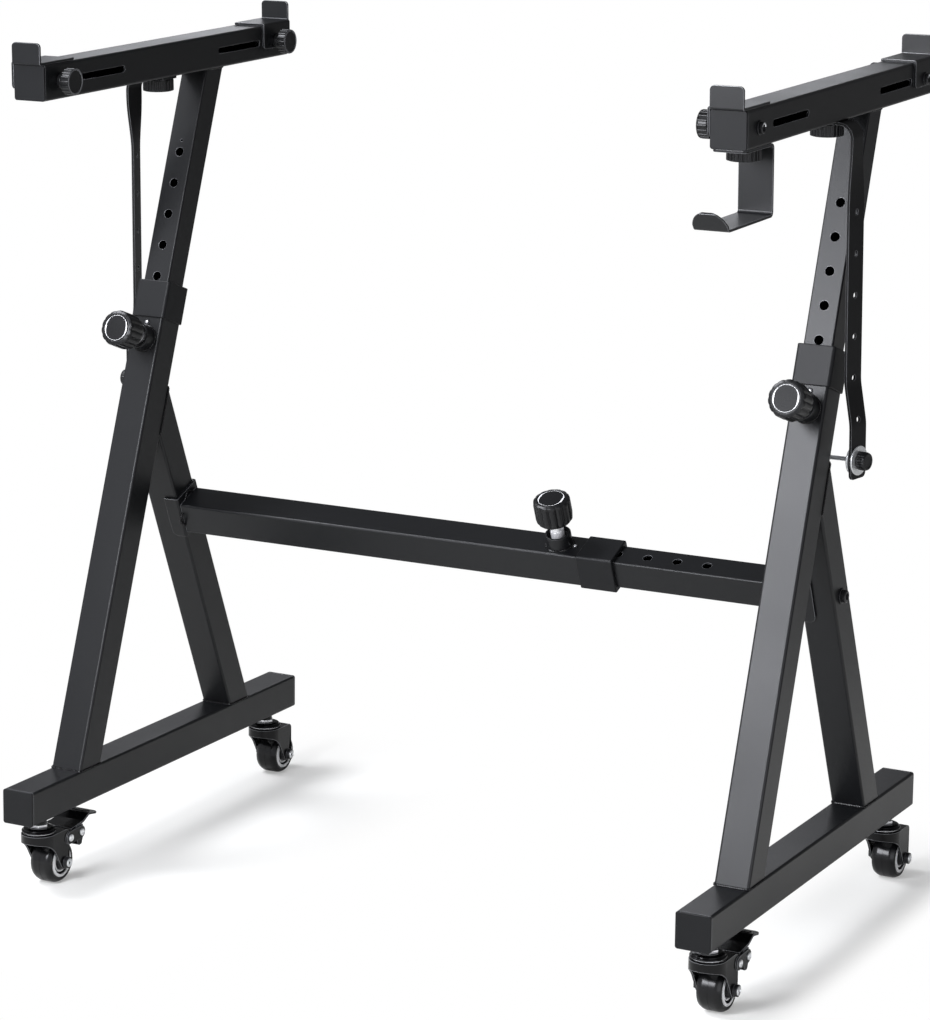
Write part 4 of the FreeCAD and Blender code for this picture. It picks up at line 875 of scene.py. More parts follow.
def make_caps(scene):
    """Collars have wider rounded edges than the end caps."""
    edge = scene.stand_plastic.cap_edge
    for body, nodes in CAP_NODES.items():
        for node in nodes:
            collar = "collar" in node
            cap = softened_node(node, edge if collar else edge * END_CAP_SHARE, steps=3)
            if collar:
                paint_seam_shade(cap, body[:-len("_frame")])
            # Bevel faces carry the painted edge highlight, and the strap material the painted seam
            # shade
            Form("cap", "edge", "strap").add(cap).finish(
                node + "_moulded", body, "black_plastic", node)


# Spring pins and their pull knobs
def pull_knob_lobes(count, low, high):
    """Radius change that cuts narrow grooves between the lobes of a pull knob."""
    depth, half_width, fade, inner_radius = 1.5, 0.14, 3.5, 18.2

    def ripple(angle, radius, height):
        if radius < inner_radius:
            return 0.0
        turns = angle * count / (2 * math.pi)
        offset = abs(turns - round(turns))
        groove = math.exp(-(offset / half_width) ** 2)
        fading = min(1.0, max(0.0, (height - low) / fade), max(0.0, (high - height) / fade))
        crown = 0.22 * math.cos(2 * math.pi * turns) if groove < 0.5 else 0.0
        return -(depth * groove + crown) * (0.35 + 0.65 * fading)

    return ripple


# Radii and swelling of the printed ring in millimetres, its dashes to a turn, and how far a
# knob's underside is lifted so that the neck shows
MARK_OUTER = 14.9
MARK_INNER = 14.3
MARK_SWELL = 1.2
MARK_DASHES = 56
KNOB_CLEARANCE = 1.2


def mark_ripple(angle, radius):
    """Inner edge of the printed ring: crescents that swell on two opposite sides."""
    if abs(radius - MARK_INNER) > 0.01:
        return 0.0
    turned_by = (angle + math.pi / 2) % math.pi - math.pi / 2
    return -MARK_SWELL * math.exp(-(turned_by / 0.45) ** 2)


def pull_knob_mesh(low, high, lobes):
    """Fluted knob whose face carries a ring, with short dashes between its crescents."""
    side = rounded([(8.2, low + 14, 0), (8.2, low + 0.6, 0), (9, low, 0.3), (17.6, low, 0.8),
                    (20.3, low + 3, 1.4), (21, low + 8, 6), (21, high - 4.5, 2),
                    (20.4, high - 1.6, 1.4), (17.6, high - 0.5, 0.8), (16.4, high - 0.2, 0.3),
                    (16.1, high - 0.7, 0.1), (15.6, high - 0.7, 0.1), (15.3, high - 0.2, 0)],
                   steps=3, closed=False)
    profile = [(0, low + 14)]
    for first, last in zip(side, side[1:]):
        parts = int(abs(last[1] - first[1]) // 4) + 1
        for part in range(parts):
            share = part / parts
            profile.append((first[0] + (last[0] - first[0]) * share,
                            first[1] + (last[1] - first[1]) * share))
    profile += [side[-1], (MARK_OUTER, high - 0.2), (MARK_INNER, high - 0.2), (12.4, high - 0.25),
                (9.0, high - 0.1), (5.0, high - 0.02), (0, high)]
    outer_lobes = pull_knob_lobes(lobes, low + 1.5, high - 1.8)

    def ripple(angle, radius, height):
        return outer_lobes(angle, radius, height) + mark_ripple(angle, radius)

    def marked(point, angle):
        turns = angle / (2 * math.pi)
        dashed = 0.13 < turns % 0.5 < 0.37 and (turns * MARK_DASHES) % 1.0 > 0.55
        return point[0] == MARK_OUTER and not dashed

    def inside(point, angle):
        return point[0] <= MARK_INNER and point[1] > high - 0.3

    return lathe_mesh(profile, segments=lobes * 14, ripple=ripple,
                      bands=((inside, 1), (marked, 2)))


def make_pull_pins(scene):
    lobes = scene.stand_plastic.lobes
    step = BOSS_TOP - 7.5
    floor = BOSS_TOP - 5.5
    for side in SIDES:
        bosses = Form("coat")
        for pin, joint in side_pins(side).items():
            place = pin_place(joint)
            knob, plunger = pin + "_pull_knob", pin + "_plunger"
            low, high = node_span(knob, place)
            body = pull_knob_mesh(low + KNOB_CLEARANCE, high, lobes)
            Form("knob", "face", "mark").add(body, place).finish(
                knob + "_fluted", knob, "knob_plastic", knob)
            tip, end = node_span(plunger, place)
            neck = turned([(0, tip, 0), (3.8, tip, 0.2), (5, tip + 1.2, 0.4), (5, step, 0),
                           (7.9, step, 0.3), (7.9, BOSS_TOP + 4.4, 0.3), (7.3, BOSS_TOP + 4.8, 0.2),
                           (7.3, BOSS_TOP + 5.6, 0.2), (7.9, BOSS_TOP + 6, 0.3), (7.9, end, 0.3),
                           (0, end, 0)], segments=64)
            Form("chrome").add(neck, place).finish(plunger + "_turned", plunger, "chrome", plunger)
            boss = turned([(5.2, HALF_TUBE, 0), (BOSS_RADIUS, HALF_TUBE, 0),
                           (BOSS_RADIUS, BOSS_TOP, 1.5), (12.4, BOSS_TOP, 0.5), (11.8, floor, 0.4),
                           (8.1, floor, 0), (8.1, step - 0.4, 0), (5.2, step - 0.4, 0)],
                          segments=64, steps=4, closed=True)
            bosses.add(boss, place)
        node = "left_pin_bosses" if side == "left" else "right_pin_boss"
        bosses.finish(node + "_turned", side + "_frame", "powder_coat", node)


# Boss screw heads: a blackened ring, and a zinc dot in its middle that is a painted glint
SCREW_RING = ((0, 0, 0), (3.6, 0, 0), (3.6, 1.0, 0.4), (2.9, 1.4, 0.3), (2.4, 1.0, 0.2),
              (0, 0.9, 0))
SCREW_GLINT = ((0, 0.9, 0), (1.9, 0.9, 0), (1.4, 1.4, 0.5), (0, 1.5, 0))


def boss_screws(side):
    """Screw heads on the tubes' faces beside the pin bosses: dark rings, and the zinc dots painted
    on them as glints.
    """
    points, facings = [], []
    for pin, joint in side_pins(side).items():
        place = pin_place(joint)
        out = place.to_3x3() @ UP
        along = ACROSS if pin == "crossbar" else out.cross(ACROSS)
        points.append(lifted(place, HALF_TUBE).translation + along * SCREW_REACH * MM)
        facings.append(out)
    return (set_out(SCREW_RING, points, facings, "blackened"),
            set_out(SCREW_GLINT, points, facings, "zinc"))


def set_out(corners, points, facings, material, segments=32):
    """Turned fasteners at the given points, each along its facing."""
    fastener = bpy.data.objects.new("fastener", plain_copy(turned(corners, segments)))
    bpy.context.scene.collection.objects.link(fastener)
    spots = bpy.data.meshes.new("spots")
    spots.from_pydata([tuple(point) for point in points], [], [])
    facing = spots.attributes.new("facing", "FLOAT_VECTOR", "POINT")
    facing.data.foreach_set("vector", [number for vector in facings for number in vector])
    result = grown(TREES["fasteners"], spots, Fastener=fastener, Material=MATERIALS[material])
    bpy.data.objects.remove(fastener)
    return result


# Thumb knobs
def rib_mesh(width, height, rise):
    """One rounded rib along +Z that faces +X."""
    half = width / 2
    outline = rounded([(-half, -half, 0), (rise, -half, half * 0.8), (rise, half, half * 0.8),
                       (-half, half, 0)], steps=3)
    return plain_copy(prism_mesh(outline, height, min(0.5, half / 2), 2))


def add_ribs(form, place, ribs, radius, low, high, width, rise):
    """Ring of ribs between two heights of a knob's body."""
    ring = grown(TREES["ribs"], rib_mesh(width, high - low, rise), Ribs=ribs,
                 Ring_Radius=radius * MM, Material=MATERIALS["knob"])
    form.take(ring, lifted(place, low))


def make_stop_knobs(scene):
    for side, end in CORNERS:
        name = "%s_%s_stop_knob" % (side, end)
        place = joint_place(name + "_turn")
        low, high = node_span(name, place)
        waist = low + 8
        outline = rounded([(3.2, low, 0), (8.6, low, 0.6), (9, low + 2.4, 0.3),
                           (7.6, low + 3.6, 0.8), (8.6, waist - 1, 0.8), (13, waist, 0.8),
                           (13.7, waist + 1.4, 0.8), (13.7, high - 1.6, 0.5),
                           (14.6, high - 0.9, 0.4), (14.2, high, 0.5), (12.9, high, 0.3),
                           (12.5, high - 0.7, 0.3), (0, high - 0.7, 0)], steps=3, closed=False)

        # Band at the face's rim in the light grey edge material: a painted highlight
        def rim(point, angle, rim_low=high - 0.3):
            return 14.3 > point[0] > 12.8 and point[1] > rim_low

        form = Form("knob", "edge")
        form.add(lathe_mesh([(0, low + 0.02)] + outline, segments=64, bands=((rim, 1),)), place)
        add_ribs(form, place, scene.stand_plastic.stop_ribs, radius=13.2, low=waist + 0.6,
                 high=high - 1.0, width=3.3, rise=1.6)
        form.finish(name + "_ribbed", name, "knob_plastic", name)


THUMB_KNOB_HEIGHTS = {
    "left_strap_knob": 13.9,
    "right_strap_knob": 13.9,
    "headphone_hook_knob": 11.9,
}


def make_thumb_knobs(scene):
    """Knobs whose bodies stay 0.1 mm off the strap or the hook that they clamp."""
    for name, height in THUMB_KNOB_HEIGHTS.items():
        place = joint_place(name + "_turn")
        low, high = node_span(name, place)
        base = high - height
        body = turned([(0, low, 0), (2.6, low, 0), (3, low + 0.4, 0), (3, base, 0),
                       (16, base, 0.8), (16.8, base + 1, 0.6), (16.8, high - 1.2, 0.6),
                       (15.8, high, 0.8), (12.6, high, 0.3), (12.2, high - 0.6, 0.3),
                       (0, high - 0.6, 0)], segments=64)
        form = Form("knob").add(body, place)
        add_ribs(form, place, scene.stand_plastic.thumb_ribs, radius=16.2, low=base + 0.5,
                 high=high - 0.5, width=2.7, rise=1.7)
        form.finish(name + "_ribbed", name, "knob_plastic", name)


# Keyboard stops and their screws
STOP_PLATE = 3.0


def painted_glint_rim(point, angle):
    """Upper part of a socket head's rim in zinc, bright on the black head: a painted glint."""
    return point[1] > 4.85 and point[0] > 4.0 and math.sin(angle) > 0.2


def add_stop_bolt(bolts, side, end):
    """Socket screw with its ring; a stop's plate lies under two of the four heads."""
    sign = SIDES[side]
    middle = joint_point("%s_%s_stop_knob_turn" % (side, end))
    low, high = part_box(side + "_arm_tube")
    wall = STOP_PLATE if (end == "front") == (side == "left") else 0.0
    face_x = (low.x + high.x) / 2 + sign * (HALF_TUBE + wall) * MM
    seat = axis_place((face_x, middle.y, middle.z), (sign, 0, 0))
    reach = HALF_TUBE * 2 + wall + 14
    ring = [(3.4, 0, 0), (7.5, 0, 0.2), (7.5, 1.5, 0.5), (3.4, 1.5, 0)]
    bolts.add(turned(ring, closed=True), seat, 0)
    head = [(0, 1.5, 0), (5.4, 1.5, 0.2), (6, 2.1, 0.3), (6, 4.4, 0.5), (5.2, 5.0, 0.3),
            (4.1, 5.0, 0.2), (3.6, 4.4, 0.1), (3.3, 2.7, 0.1), (0, 2.6, 0)]
    # The head's upper rim in zinc is a painted glint on the black head
    bolts.add(turned(head, bands=((painted_glint_rim, 1),)), seat)
    shank = [(0, -reach), (2.7, -reach), (3, 0.3 - reach), (3, 1.6), (0, 1.6)]
    bolts.add(lathe_mesh(shank, segments=24), seat, 1)


def make_stops(scene):
    for side in SIDES:
        bolts = Form("blackened", "zinc")
        for end in ENDS:
            node = "%s_%s_stop" % (side, end)
            make_plate(node, node + "_folded", side + "_upper", scene.stand_coat.plate_edge)
            add_stop_bolt(bolts, side, end)
        bolts.finish(side + "_stop_bolts_turned", side + "_upper", "zinc_steel",
                     side + "_stop_bolts")


def make_plate(node, name, body, edge):
    """Coated sheet part with softened edges."""
    Form("coat", "edge").add(softened_node(node, edge)).finish(name, body, "powder_coat", node)


# Straps
STRAP_TWIST = math.radians(18)
STUD_TURN = math.radians(-11)
# Millimetres: from a strap's top down and from its bottom up, where its turn fades
TOP_FADE = (90.0, 25.0)
BOTTOM_FADE = (45.0, 120.0)
# Millimetres on a strap stud: its washers, the room between them, its cap and its rod
WASHER = 2.0
WASHER_RADIUS = 16.0
STRAP_ROOM = 3.6
STUD_CAP = 12.5
ROD_REACH = 40.0


def smooth(value, start, end):
    """Ease from 0 at the start to 1 at the end."""
    share = min(1.0, max(0.0, (value - start) / (end - start)))
    return share * share * (3 - 2 * share)


def strap_middle(side):
    """X in the middle of a hanging strap's thickness."""
    low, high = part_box(side + "_strap")
    return low.x + 9 * MM if side == "left" else high.x - 1.5 * MM


def twist_strap(strap, side, low, high):
    """Turn a strap about its upright centre line: the left one in its middle, the right one
    with its stud as far as the arm."""
    centre = Vector((strap_middle(side), (low.y + high.y) / 2, 0))
    for vertex in strap.verts:
        share = 1 - smooth(vertex.co.z, *[high.z - fade * MM for fade in TOP_FADE])
        if side == "left":
            share *= smooth(vertex.co.z, *[low.z + fade * MM for fade in BOTTOM_FADE])
        spot = vertex.co - centre
        turn = STUD_TURN if side == "right" else STRAP_TWIST
        spot.rotate(Matrix.Rotation(turn * share, 3, "Z"))
        vertex.co = centre + spot


def make_straps():
    """Bands cut in many steps, so that they bend evenly between frame and arm."""
    steps, edge, arm_grip = 46, 0.35, 12
    for side in SIDES:
        node = side + "_strap"
        strap = softened_node(node, edge * MM)
        low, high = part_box(node)
        for step in range(1, steps):
            height = low.z + (high.z - low.z) * step / steps
            geometry = list(strap.verts) + list(strap.edges) + list(strap.faces)
            bmesh.ops.bisect_plane(strap, geom=geometry, plane_co=(0, 0, height),
                                   plane_no=(0, 0, 1), dist=MERGE_DISTANCE)
        twist_strap(strap, side, low, high)
        piece = Form("strap", "edge").add(strap).finish(node + "_band", None, "strap", node)
        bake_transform(piece)


def cap_ribs(angle, radius, height):
    """Fine grooves round a stud's cap."""
    if radius < 9.6 or height > 16.2:
        return 0.0
    return -0.5 * max(0.0, math.cos(angle * 18)) ** 2


def make_strap_studs():
    """Studs with two washers and a cap; the right ones hang turned with their strap."""
    for side, sign in SIDES.items():
        node = side + "_strap_stud"
        low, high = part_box(node)
        outer = high.x if sign > 0 else low.x
        stack = STUD_CAP + WASHER + STRAP_ROOM + WASHER
        middle = Vector((outer - sign * stack * MM, high.y - WASHER_RADIUS * MM,
                         (low.z + high.z) / 2))
        seat = axis_place(middle, (sign, 0, 0))
        hung = seat
        if side == "right":
            strap = Vector((strap_middle(side), middle.y, middle.z))
            turn = Matrix.Rotation(STUD_TURN, 4, "Z")
            hung = Matrix.Translation(strap) @ turn @ Matrix.Translation(-strap) @ seat
        form = Form("zinc", "knob", "coat")
        for lift in (0, WASHER + STRAP_ROOM):
            top = lift + WASHER
            washer = [(2.6, lift, 0), (WASHER_RADIUS, lift, 0.5), (WASHER_RADIUS, top, 0.5),
                      (2.6, top, 0)]
            form.add(turned(washer, segments=64, closed=True), hung, 0)
        cap = [(0, 7.6, 0), (9.2, 7.6, 0.3), (10, 8.6, 0.6), (10, 15.9, 0.8), (9, 18.5, 0.8),
               (6.8, 18.5, 0.3), (6.4, 17.9, 0.2), (0, 17.9, 0)]
        form.add(turned(cap, segments=144, ripple=cap_ribs), hung, 1)
        rod = [(0, -ROD_REACH), (2.4, -ROD_REACH), (2.4, 8), (0, 8)]
        form.add(lathe_mesh(rod, segments=24), seat, 0)
        lug = prism_mesh(rectangle(7, 7, 7, steps=6), 3, 0.3)
        form.add(lug, lifted(seat, -ROD_REACH), 2)
        form.finish(node + "_turned", side + "_frame", "zinc_steel", node)


# Headphone hook
def make_hook(scene):
    make_plate("headphone_hook", "headphone_hook_bent", "headphone_hook",
               scene.stand_coat.plate_edge)


# Casters
def caster_point(side, end):
    return joint_point("%s_%s_caster_swivel" % (side, end))


def race_gap(point, angle):
    """Chrome band in the groove between the two halves of a swivel race, bright partly by painted
    reflection.
    """
    return -18.2 < point[1] < -17.6 and point[0] < 18.6


def add_stem(form, place):
    """Bush, nut, swivel race, stem and inner nut of one caster."""
    bush = [(0, -9, 0), (8.4, -9, 0.3), (9, -8.2, 0.4), (9, -1, 0.3), (8.6, 0, 0), (0, 0, 0)]
    form.add(turned(bush), place, 0)
    form.add(prism_mesh(hexagon(11), 3.5, 0.5), lifted(place, -12.5), 3)
    race = [(0, -19.6, 0), (19.2, -19.6, 0.3), (19.7, -18.6, 0.4), (18.4, -18.1, 0.2),
            (18.4, -17.7, 0.2), (20, -17.3, 0.6), (19.6, -15.6, 1.0), (18.2, -15.0, 0.3),
            (18.0, -14.6, 0.2), (17.6, -13.6, 1.6), (14, -12.5, 1.0), (0, -12.5, 0)]
    form.add(turned(race, segments=72, bands=((race_gap, 3),)), place)
    stem = [(0, -25.9, 0), (9, -25.9, 0.5), (9, -23, 0.5), (4.9, -22.9, 0), (4.9, 14, 0.5),
            (0, 14, 0)]
    form.add(turned(stem, segments=32, steps=2), place, 1)
    form.add(prism_mesh(hexagon(9.5), 8, 0.5), lifted(place, 2.5), 1)


def add_bar_bolt(form, side):
    """Bolt through the brace and the crossbar's saddle, with its washer and nut."""
    sign = SIDES[side]
    bar = pin_place("crossbar_knob_turn").translation
    foot_x = caster_point(side, "front").x
    outside = axis_place((foot_x + sign * HALF_TUBE * MM, bar.y, bar.z), (sign, 0, 0))
    washer = [(0, 0, 0), (9, 0, 0.3), (9, 1.6, 0.5), (0, 1.6, 0)]
    head = [(0, 1.6, 0), (6.5, 1.6, 0.2), (7, 2.2, 0.3), (7, 5.6, 0.4), (5.8, 6.6, 0.6),
            (4.2, 6.6, 0.2), (3.8, 6.0, 0.1), (3.6, 3.6, 0.1), (0, 3.6, 0)]
    for corners in (washer, head):
        form.add(turned(corners), outside, 4)
    nut_height = 6.5
    back = -(2 * HALF_TUBE + SADDLE_WALL + nut_height)
    shank = [(0, back), (3.6, back), (4, back + 0.5), (4, 1.7), (0, 1.7)]
    form.add(lathe_mesh(shank, segments=24), outside, 1)
    form.add(prism_mesh(hexagon(7.5), nut_height, 0.5), lifted(outside, back), 1)


def make_caster_mounts():
    """Stems, nuts, bushes and swivel races under the feet, with the crossbar bolts."""
    for side in SIDES:
        form = Form("gloss", "zinc", "coat", "chrome", "blackened")
        for end in ENDS:
            add_stem(form, Matrix.Translation(caster_point(side, end)))
        add_bar_bolt(form, side)
        ring, dot = boss_screws(side)
        # The screws' blackened rings and their zinc dots, which are painted glints
        form.take(ring, None, 4).take(dot, None, 1)
        form.finish(side + "_frame_fasteners_turned", side + "_frame", "zinc_steel",
                    side + "_frame_fasteners")


# Millimetres from a caster's stem: the fixed rivet of a brake's links, the outer faces that
# rivets and axle cap sit on, and where the fork's bare metal starts
LINK_RIVET = Vector((0, 31, -31.5))
RIVET_FACE = 23.3
AXLE_FACE = 24.3
BARE_LINK = 22.6
BARE_AXLE = 20.6
RIVET_DOME = ((0, -0.5, 0), (4.1, -0.5, 0), (4.1, 0.5, 0.3), (3.5, 1.1, 0.5), (2.0, 1.2, 0.2),
              (1.6, 0.5, 0.2), (0, 0.4, 0))
AXLE_CAP = ((0, -0.2, 0), (5.0, -0.2, 0), (5.0, 0.8, 0.3), (4.0, 1.4, 0.6), (2.6, 1.5, 0.2),
            (2.1, 0.5, 0.2), (0, 0.4, 0))
# Dark disc in the dimple of each rivet and axle cap head: painted shade in the recess
HEAD_RECESS_SHADE = ((0, 0.42, 0), (1.5, 0.42, 0), (1.5, 0.52, 0), (0, 0.54, 0))


def near_pins(base, reach, pins, radius):
    """Test for spots outside a reach from the stem and within a radius of pins along X."""
    def test(spot):
        outside = abs(spot.x - base.x) > reach * MM
        return outside and any((spot - pin).yz.length < radius * MM for pin in pins)
    return test


def make_forks(scene):
    for side, end in CORNERS:
        node = "%s_%s_caster_fork" % (side, end)
        base = caster_point(side, end)
        axle = joint_point("%s_%s_wheel_roll" % (side, end))
        # Bevel faces in the edge material: a painted highlight
        fork = softened_node(node, scene.stand_coat.plate_edge, material=2)
        form = Form("gloss", "zinc", "edge", "blackened").add(fork)
        form.paint(3, near_pins(base, BARE_AXLE, [axle], 7.2))
        heads = [(AXLE_CAP, 32, [axle], (1,), AXLE_FACE)]
        if end == "front":
            rivets = [joint_point(side + "_front_brake_press"), base + LINK_RIVET * MM]
            form.paint(1, near_pins(base, BARE_LINK, rivets, 4.2))
            heads.insert(0, (RIVET_DOME, 24, rivets, (-1, 1), RIVET_FACE))
        for corners, segments, pins, signs, face in heads:
            spots = [(base.x + sign * face * MM, pin.y, pin.z) for sign in signs for pin in pins]
            facings = [(sign, 0, 0) for sign in signs for pin in pins]
            form.take(set_out(corners, spots, facings, "zinc", segments), None, 1)
            # Painted shade: a dark disc in each head's dimple
            form.take(set_out(HEAD_RECESS_SHADE, spots, facings, "blackened", 16), None, 3)
        form.finish(node + "_pressed", node, "powder_coat", node)


TYRE = ((17.4, -13.4, 0.6), (21.6, -14.8, 2.5), (25, -9, 9), (25, -0.35, 0), (24.75, -0.25, 0.1),
        (24.75, 0.25, 0.1), (25, 0.35, 0), (25, 9, 9), (21.6, 14.8, 2.5), (17.4, 13.4, 0.6),
        (17.4, 0, 0))
HALF_HUB = ((17.5, 12.8), (18.2, 13.7), (18.1, 14.3), (15.0, 14.8), (14.7, 14.3), (14.5, 11),
            (14.2, 9.5), (12.6, 9.2), (12.2, 13.0), (10.6, 13.2), (10.0, 9.2), (9.0, 9.4),
            (8.8, 16.8), (8.2, 17.4), (4.1, 17.4))


def pale_rings(point, angle):
    """The two pale rings on each face of a hub."""
    radius, height = point[0], abs(point[1])
    outer = 14.75 < radius < 18.3 and height > 13.5
    inner = 10.4 < radius < 12.45 and height > 11.5
    return outer or inner


def make_wheels():
    hub = [(radius, height, 0.25) for radius, height in HALF_HUB]
    hub += [(radius, -height, 0.25) for radius, height in reversed(HALF_HUB)]
    for side, end in CORNERS:
        wheel = "%s_%s_caster" % (side, end)
        place = joint_place("%s_%s_wheel_roll" % (side, end))
        Form("tyre").add(turned(TYRE, segments=96, steps=8, closed=True), place).finish(
            wheel + "_tyre_moulded", wheel + "_wheel", "tyre_rubber", wheel + "_tyre")
        body = turned(hub, segments=96, steps=2, closed=True, bands=((pale_rings, 1),))
        Form("hub", "ring").add(body, place).finish(
            wheel + "_hub_moulded", wheel + "_wheel", "hub_plastic", wheel + "_hub")


# Millimetres from a caster's stem to the end of a pedal, and its slope
PEDAL_END = Vector((0, 74, -15))
PEDAL_SLOPE = math.atan2(-3.5, 20)


def make_pedals(scene):
    """Pressed pedals with raised bars across the part that the toe meets."""
    for side in SIDES:
        node = side + "_front_brake_pedal"
        form = Form("gloss", "edge").add(softened_node(node, scene.stand_coat.plate_edge))
        for reach in (5, 10.5):
            place = (Matrix.Translation(caster_point(side, "front")) @
                     Matrix.Translation(PEDAL_END * MM) @
                     Matrix.Rotation(PEDAL_SLOPE, 4, "X") @
                     Matrix.Translation(Vector((0, reach, 1.1)) * MM))
            form.add(prism_mesh(rectangle(12, 1.2, 1.1), 1.0, 0.4), place)
        form.finish(node + "_pressed", node, "powder_coat", node)


# Stage
LIGHT_COLOUR = (0.93, 0.945, 1.0)
FLOOR_COLOUR = (0.70, 0.695, 0.665)
FRONT = Vector((-0.3, -0.93, -0.2)).normalized()
# Shares of the white that gloss mirrors: from the floor, more from its right part, from the sky
MIRROR_SHARE = 0.11
RIGHT_MIRROR_SHARE = 0.56
SKY_MIRROR_SHARE = 0.08
# Each lamp's width and height, place and target, in metres
LAMPS = {
    "key": ((0.65, 1.1), (-0.40, -1.95, 1.37), (0.35, -0.1, 0.55)),
    "top": ((1.1, 1.1), (-1.7, -0.7, 2.7), (0.0, 0.0, 0.3)),
    "side": ((1.0, 0.8), (1.3, -0.9, 0.35), (0.3, 0.0, 0.3)),
    "rim": ((1.6, 0.5), (-1.3, 2.4, 1.4), (0.0, 0.0, 0.8)),
}
# Strips of floor that keep the shadow, in metres: X of the middle, then how far to each side
# the strip starts to fade and ends
SHADOW_STRIPS = ((-0.37, 0.06, 0.22), (0.42, 0.03, 0.09))


def make_stage(scene):
    stage = scene.stand_stage
    camera_data = bpy.data.cameras.new("stand_camera")
    camera_data.lens = stage.lens
    camera_data.sensor_width = 36.0
    camera_data.sensor_fit = "AUTO"
    camera_data.shift_x = 0.0
    camera_data.shift_y = stage.shift
    camera = bpy.data.objects.new("stand_camera", camera_data)
    scene.collection.objects.link(camera)
    azimuth, elevation, roll = stage.azimuth, stage.elevation, stage.roll
    forward = Vector((-math.sin(azimuth) * math.cos(elevation),
                      math.cos(azimuth) * math.cos(elevation), -math.sin(elevation)))
    level = Vector((math.cos(azimuth), math.sin(azimuth), 0))
    upward = level.cross(forward)
    right = level * math.cos(roll) + upward * math.sin(roll)
    up = upward * math.cos(roll) - level * math.sin(roll)
    turn = Matrix((right, up, -forward)).transposed().to_4x4()
    camera.matrix_world = Matrix.Translation(stage.camera) @ turn
    scene.camera = camera
    scene.view_settings.view_transform = "Standard"

    for name, (size, spot, target) in LAMPS.items():
        add_lamp(scene, name + "_lamp", getattr(stage, name + "_power"), size, spot, target)
    make_world(scene, stage)
    make_floor(scene, stage.floor_lift)


def add_lamp(scene, name, power, size, spot, target):
    lamp_data = bpy.data.lights.new(name, "AREA")
    lamp_data.shape = "RECTANGLE"
    lamp_data.size, lamp_data.size_y = size
    lamp_data.energy = power
    lamp_data.color = LIGHT_COLOUR
    lamp = bpy.data.objects.new(name, lamp_data)
    lamp.visible_camera = False
    scene.collection.objects.link(lamp)
    toward = Vector(target) - Vector(spot)
    turn = toward.to_track_quat("-Z", "Y").to_matrix().to_4x4()
    lamp.matrix_world = Matrix.Translation(spot) @ turn


def make_world(scene, stage):
    """White to the camera; for the stand a studio that is light in front and dark behind."""
    world = bpy.data.worlds.new("studio")
    scene.world = world
    shader = Shader(world)
    direction = shader.add("ShaderNodeTexCoord").outputs["Generated"]
    facing = shader.add("ShaderNodeVectorMath", {"operation": "DOT_PRODUCT"}, {
        0: direction, 1: FRONT})
    sweep = Term(shader, facing.outputs["Value"]).eased(-0.2, 0.8, stage.back, stage.front)
    around = shader.add("ShaderNodeBackground", None, {"Color": LIGHT_COLOUR, "Strength": sweep})
    white = shader.add("ShaderNodeBackground", None, {"Color": WHITE, "Strength": 1.0})
    mixed = shader.mixed(shader.seen(SKY_MIRROR_SHARE), around.outputs["Background"],
                         white.outputs["Background"])
    shader.finish(mixed)


def make_floor(scene, lift):
    """White floor, 0.3 mm under the tyres, that keeps the soft shadow near the feet."""
    size, drop = 6.0, 0.0003
    floor_data = bpy.data.meshes.new("floor")
    corners = [(-size, -size, 0), (size, -size, 0), (size, size, 0), (-size, size, 0)]
    floor_data.from_pydata(corners, [], [(0, 1, 2, 3)])
    floor = bpy.data.objects.new("floor", floor_data)
    scene.collection.objects.link(floor)
    floor.location = (0, 0, -drop)
    shader = Shader(bpy.data.materials.new("white_floor"))
    split = shader.add("ShaderNodeSeparateXYZ", None, {0: shader.place()})
    across, along = Term(shader, split.outputs["X"]), Term(shader, split.outputs["Y"])
    beside_left, beside_right = [
        (across - middle).absolute().eased(fade, end, 1.0, 0.0)
        for middle, fade, end in SHADOW_STRIPS]
    near = beside_left.most(beside_right)
    between = along.absolute().eased(0.25, 0.5, 1.0, 0.0)
    lit = shader.add("ShaderNodeBsdfDiffuse", None, {"Color": FLOOR_COLOUR}).outputs["BSDF"]
    lifted = shader.add("ShaderNodeAddShader", None, {
        0: lit, 1: shader.glow(lift)}).outputs["Shader"]
    white = shader.mixed(near * between, shader.glow(1.0), lifted)
    lighter = across.eased(0.45, 0.6, 0.0, 1.0) * along.eased(0.6, 1.2, 1.0, 0.0)
    mirror_share = lighter * RIGHT_MIRROR_SHARE + MIRROR_SHARE
    mixed = shader.mixed(shader.seen(mirror_share), lit, white)
    floor_data.materials.append(shader.finish(mixed))


# Operators
class StandOperator:
    """Shared start of every operator: materials and trees are made once."""

    bl_options = {"REGISTER", "UNDO"}

    def prepare(self, context):
        if not MATERIALS:
            make_materials(context.scene)
            make_trees()
        return context.scene


class OBJECT_OT_stand_tubes(StandOperator, bpy.types.Operator):
    """Dress the square tubes of feet, legs, braces, crossbar and arms"""

    bl_idname = "object.stand_tubes"
    bl_label = "Tubes"

    def execute(self, context):
        make_tubes(self.prepare(context))
        return {"FINISHED"}


class OBJECT_OT_stand_welds(StandOperator, bpy.types.Operator):
    """Lay the weld beads where tubes and bosses meet"""

    bl_idname = "object.stand_welds"
    bl_label = "Weld Beads"

    def execute(self, context):
        make_welds(self.prepare(context))
        return {"FINISHED"}


class OBJECT_OT_stand_caps(StandOperator, bpy.types.Operator):
    """Mould the end caps and the collars"""

    bl_idname = "object.stand_caps"
    bl_label = "Caps and Collars"

    def execute(self, context):
        make_caps(self.prepare(context))
        return {"FINISHED"}


class OBJECT_OT_stand_pull_pins(StandOperator, bpy.types.Operator):
    """Make the spring pins with their bosses and fluted pull knobs"""

    bl_idname = "object.stand_pull_pins"
    bl_label = "Pull Pins"

    def execute(self, context):
        make_pull_pins(self.prepare(context))
        return {"FINISHED"}


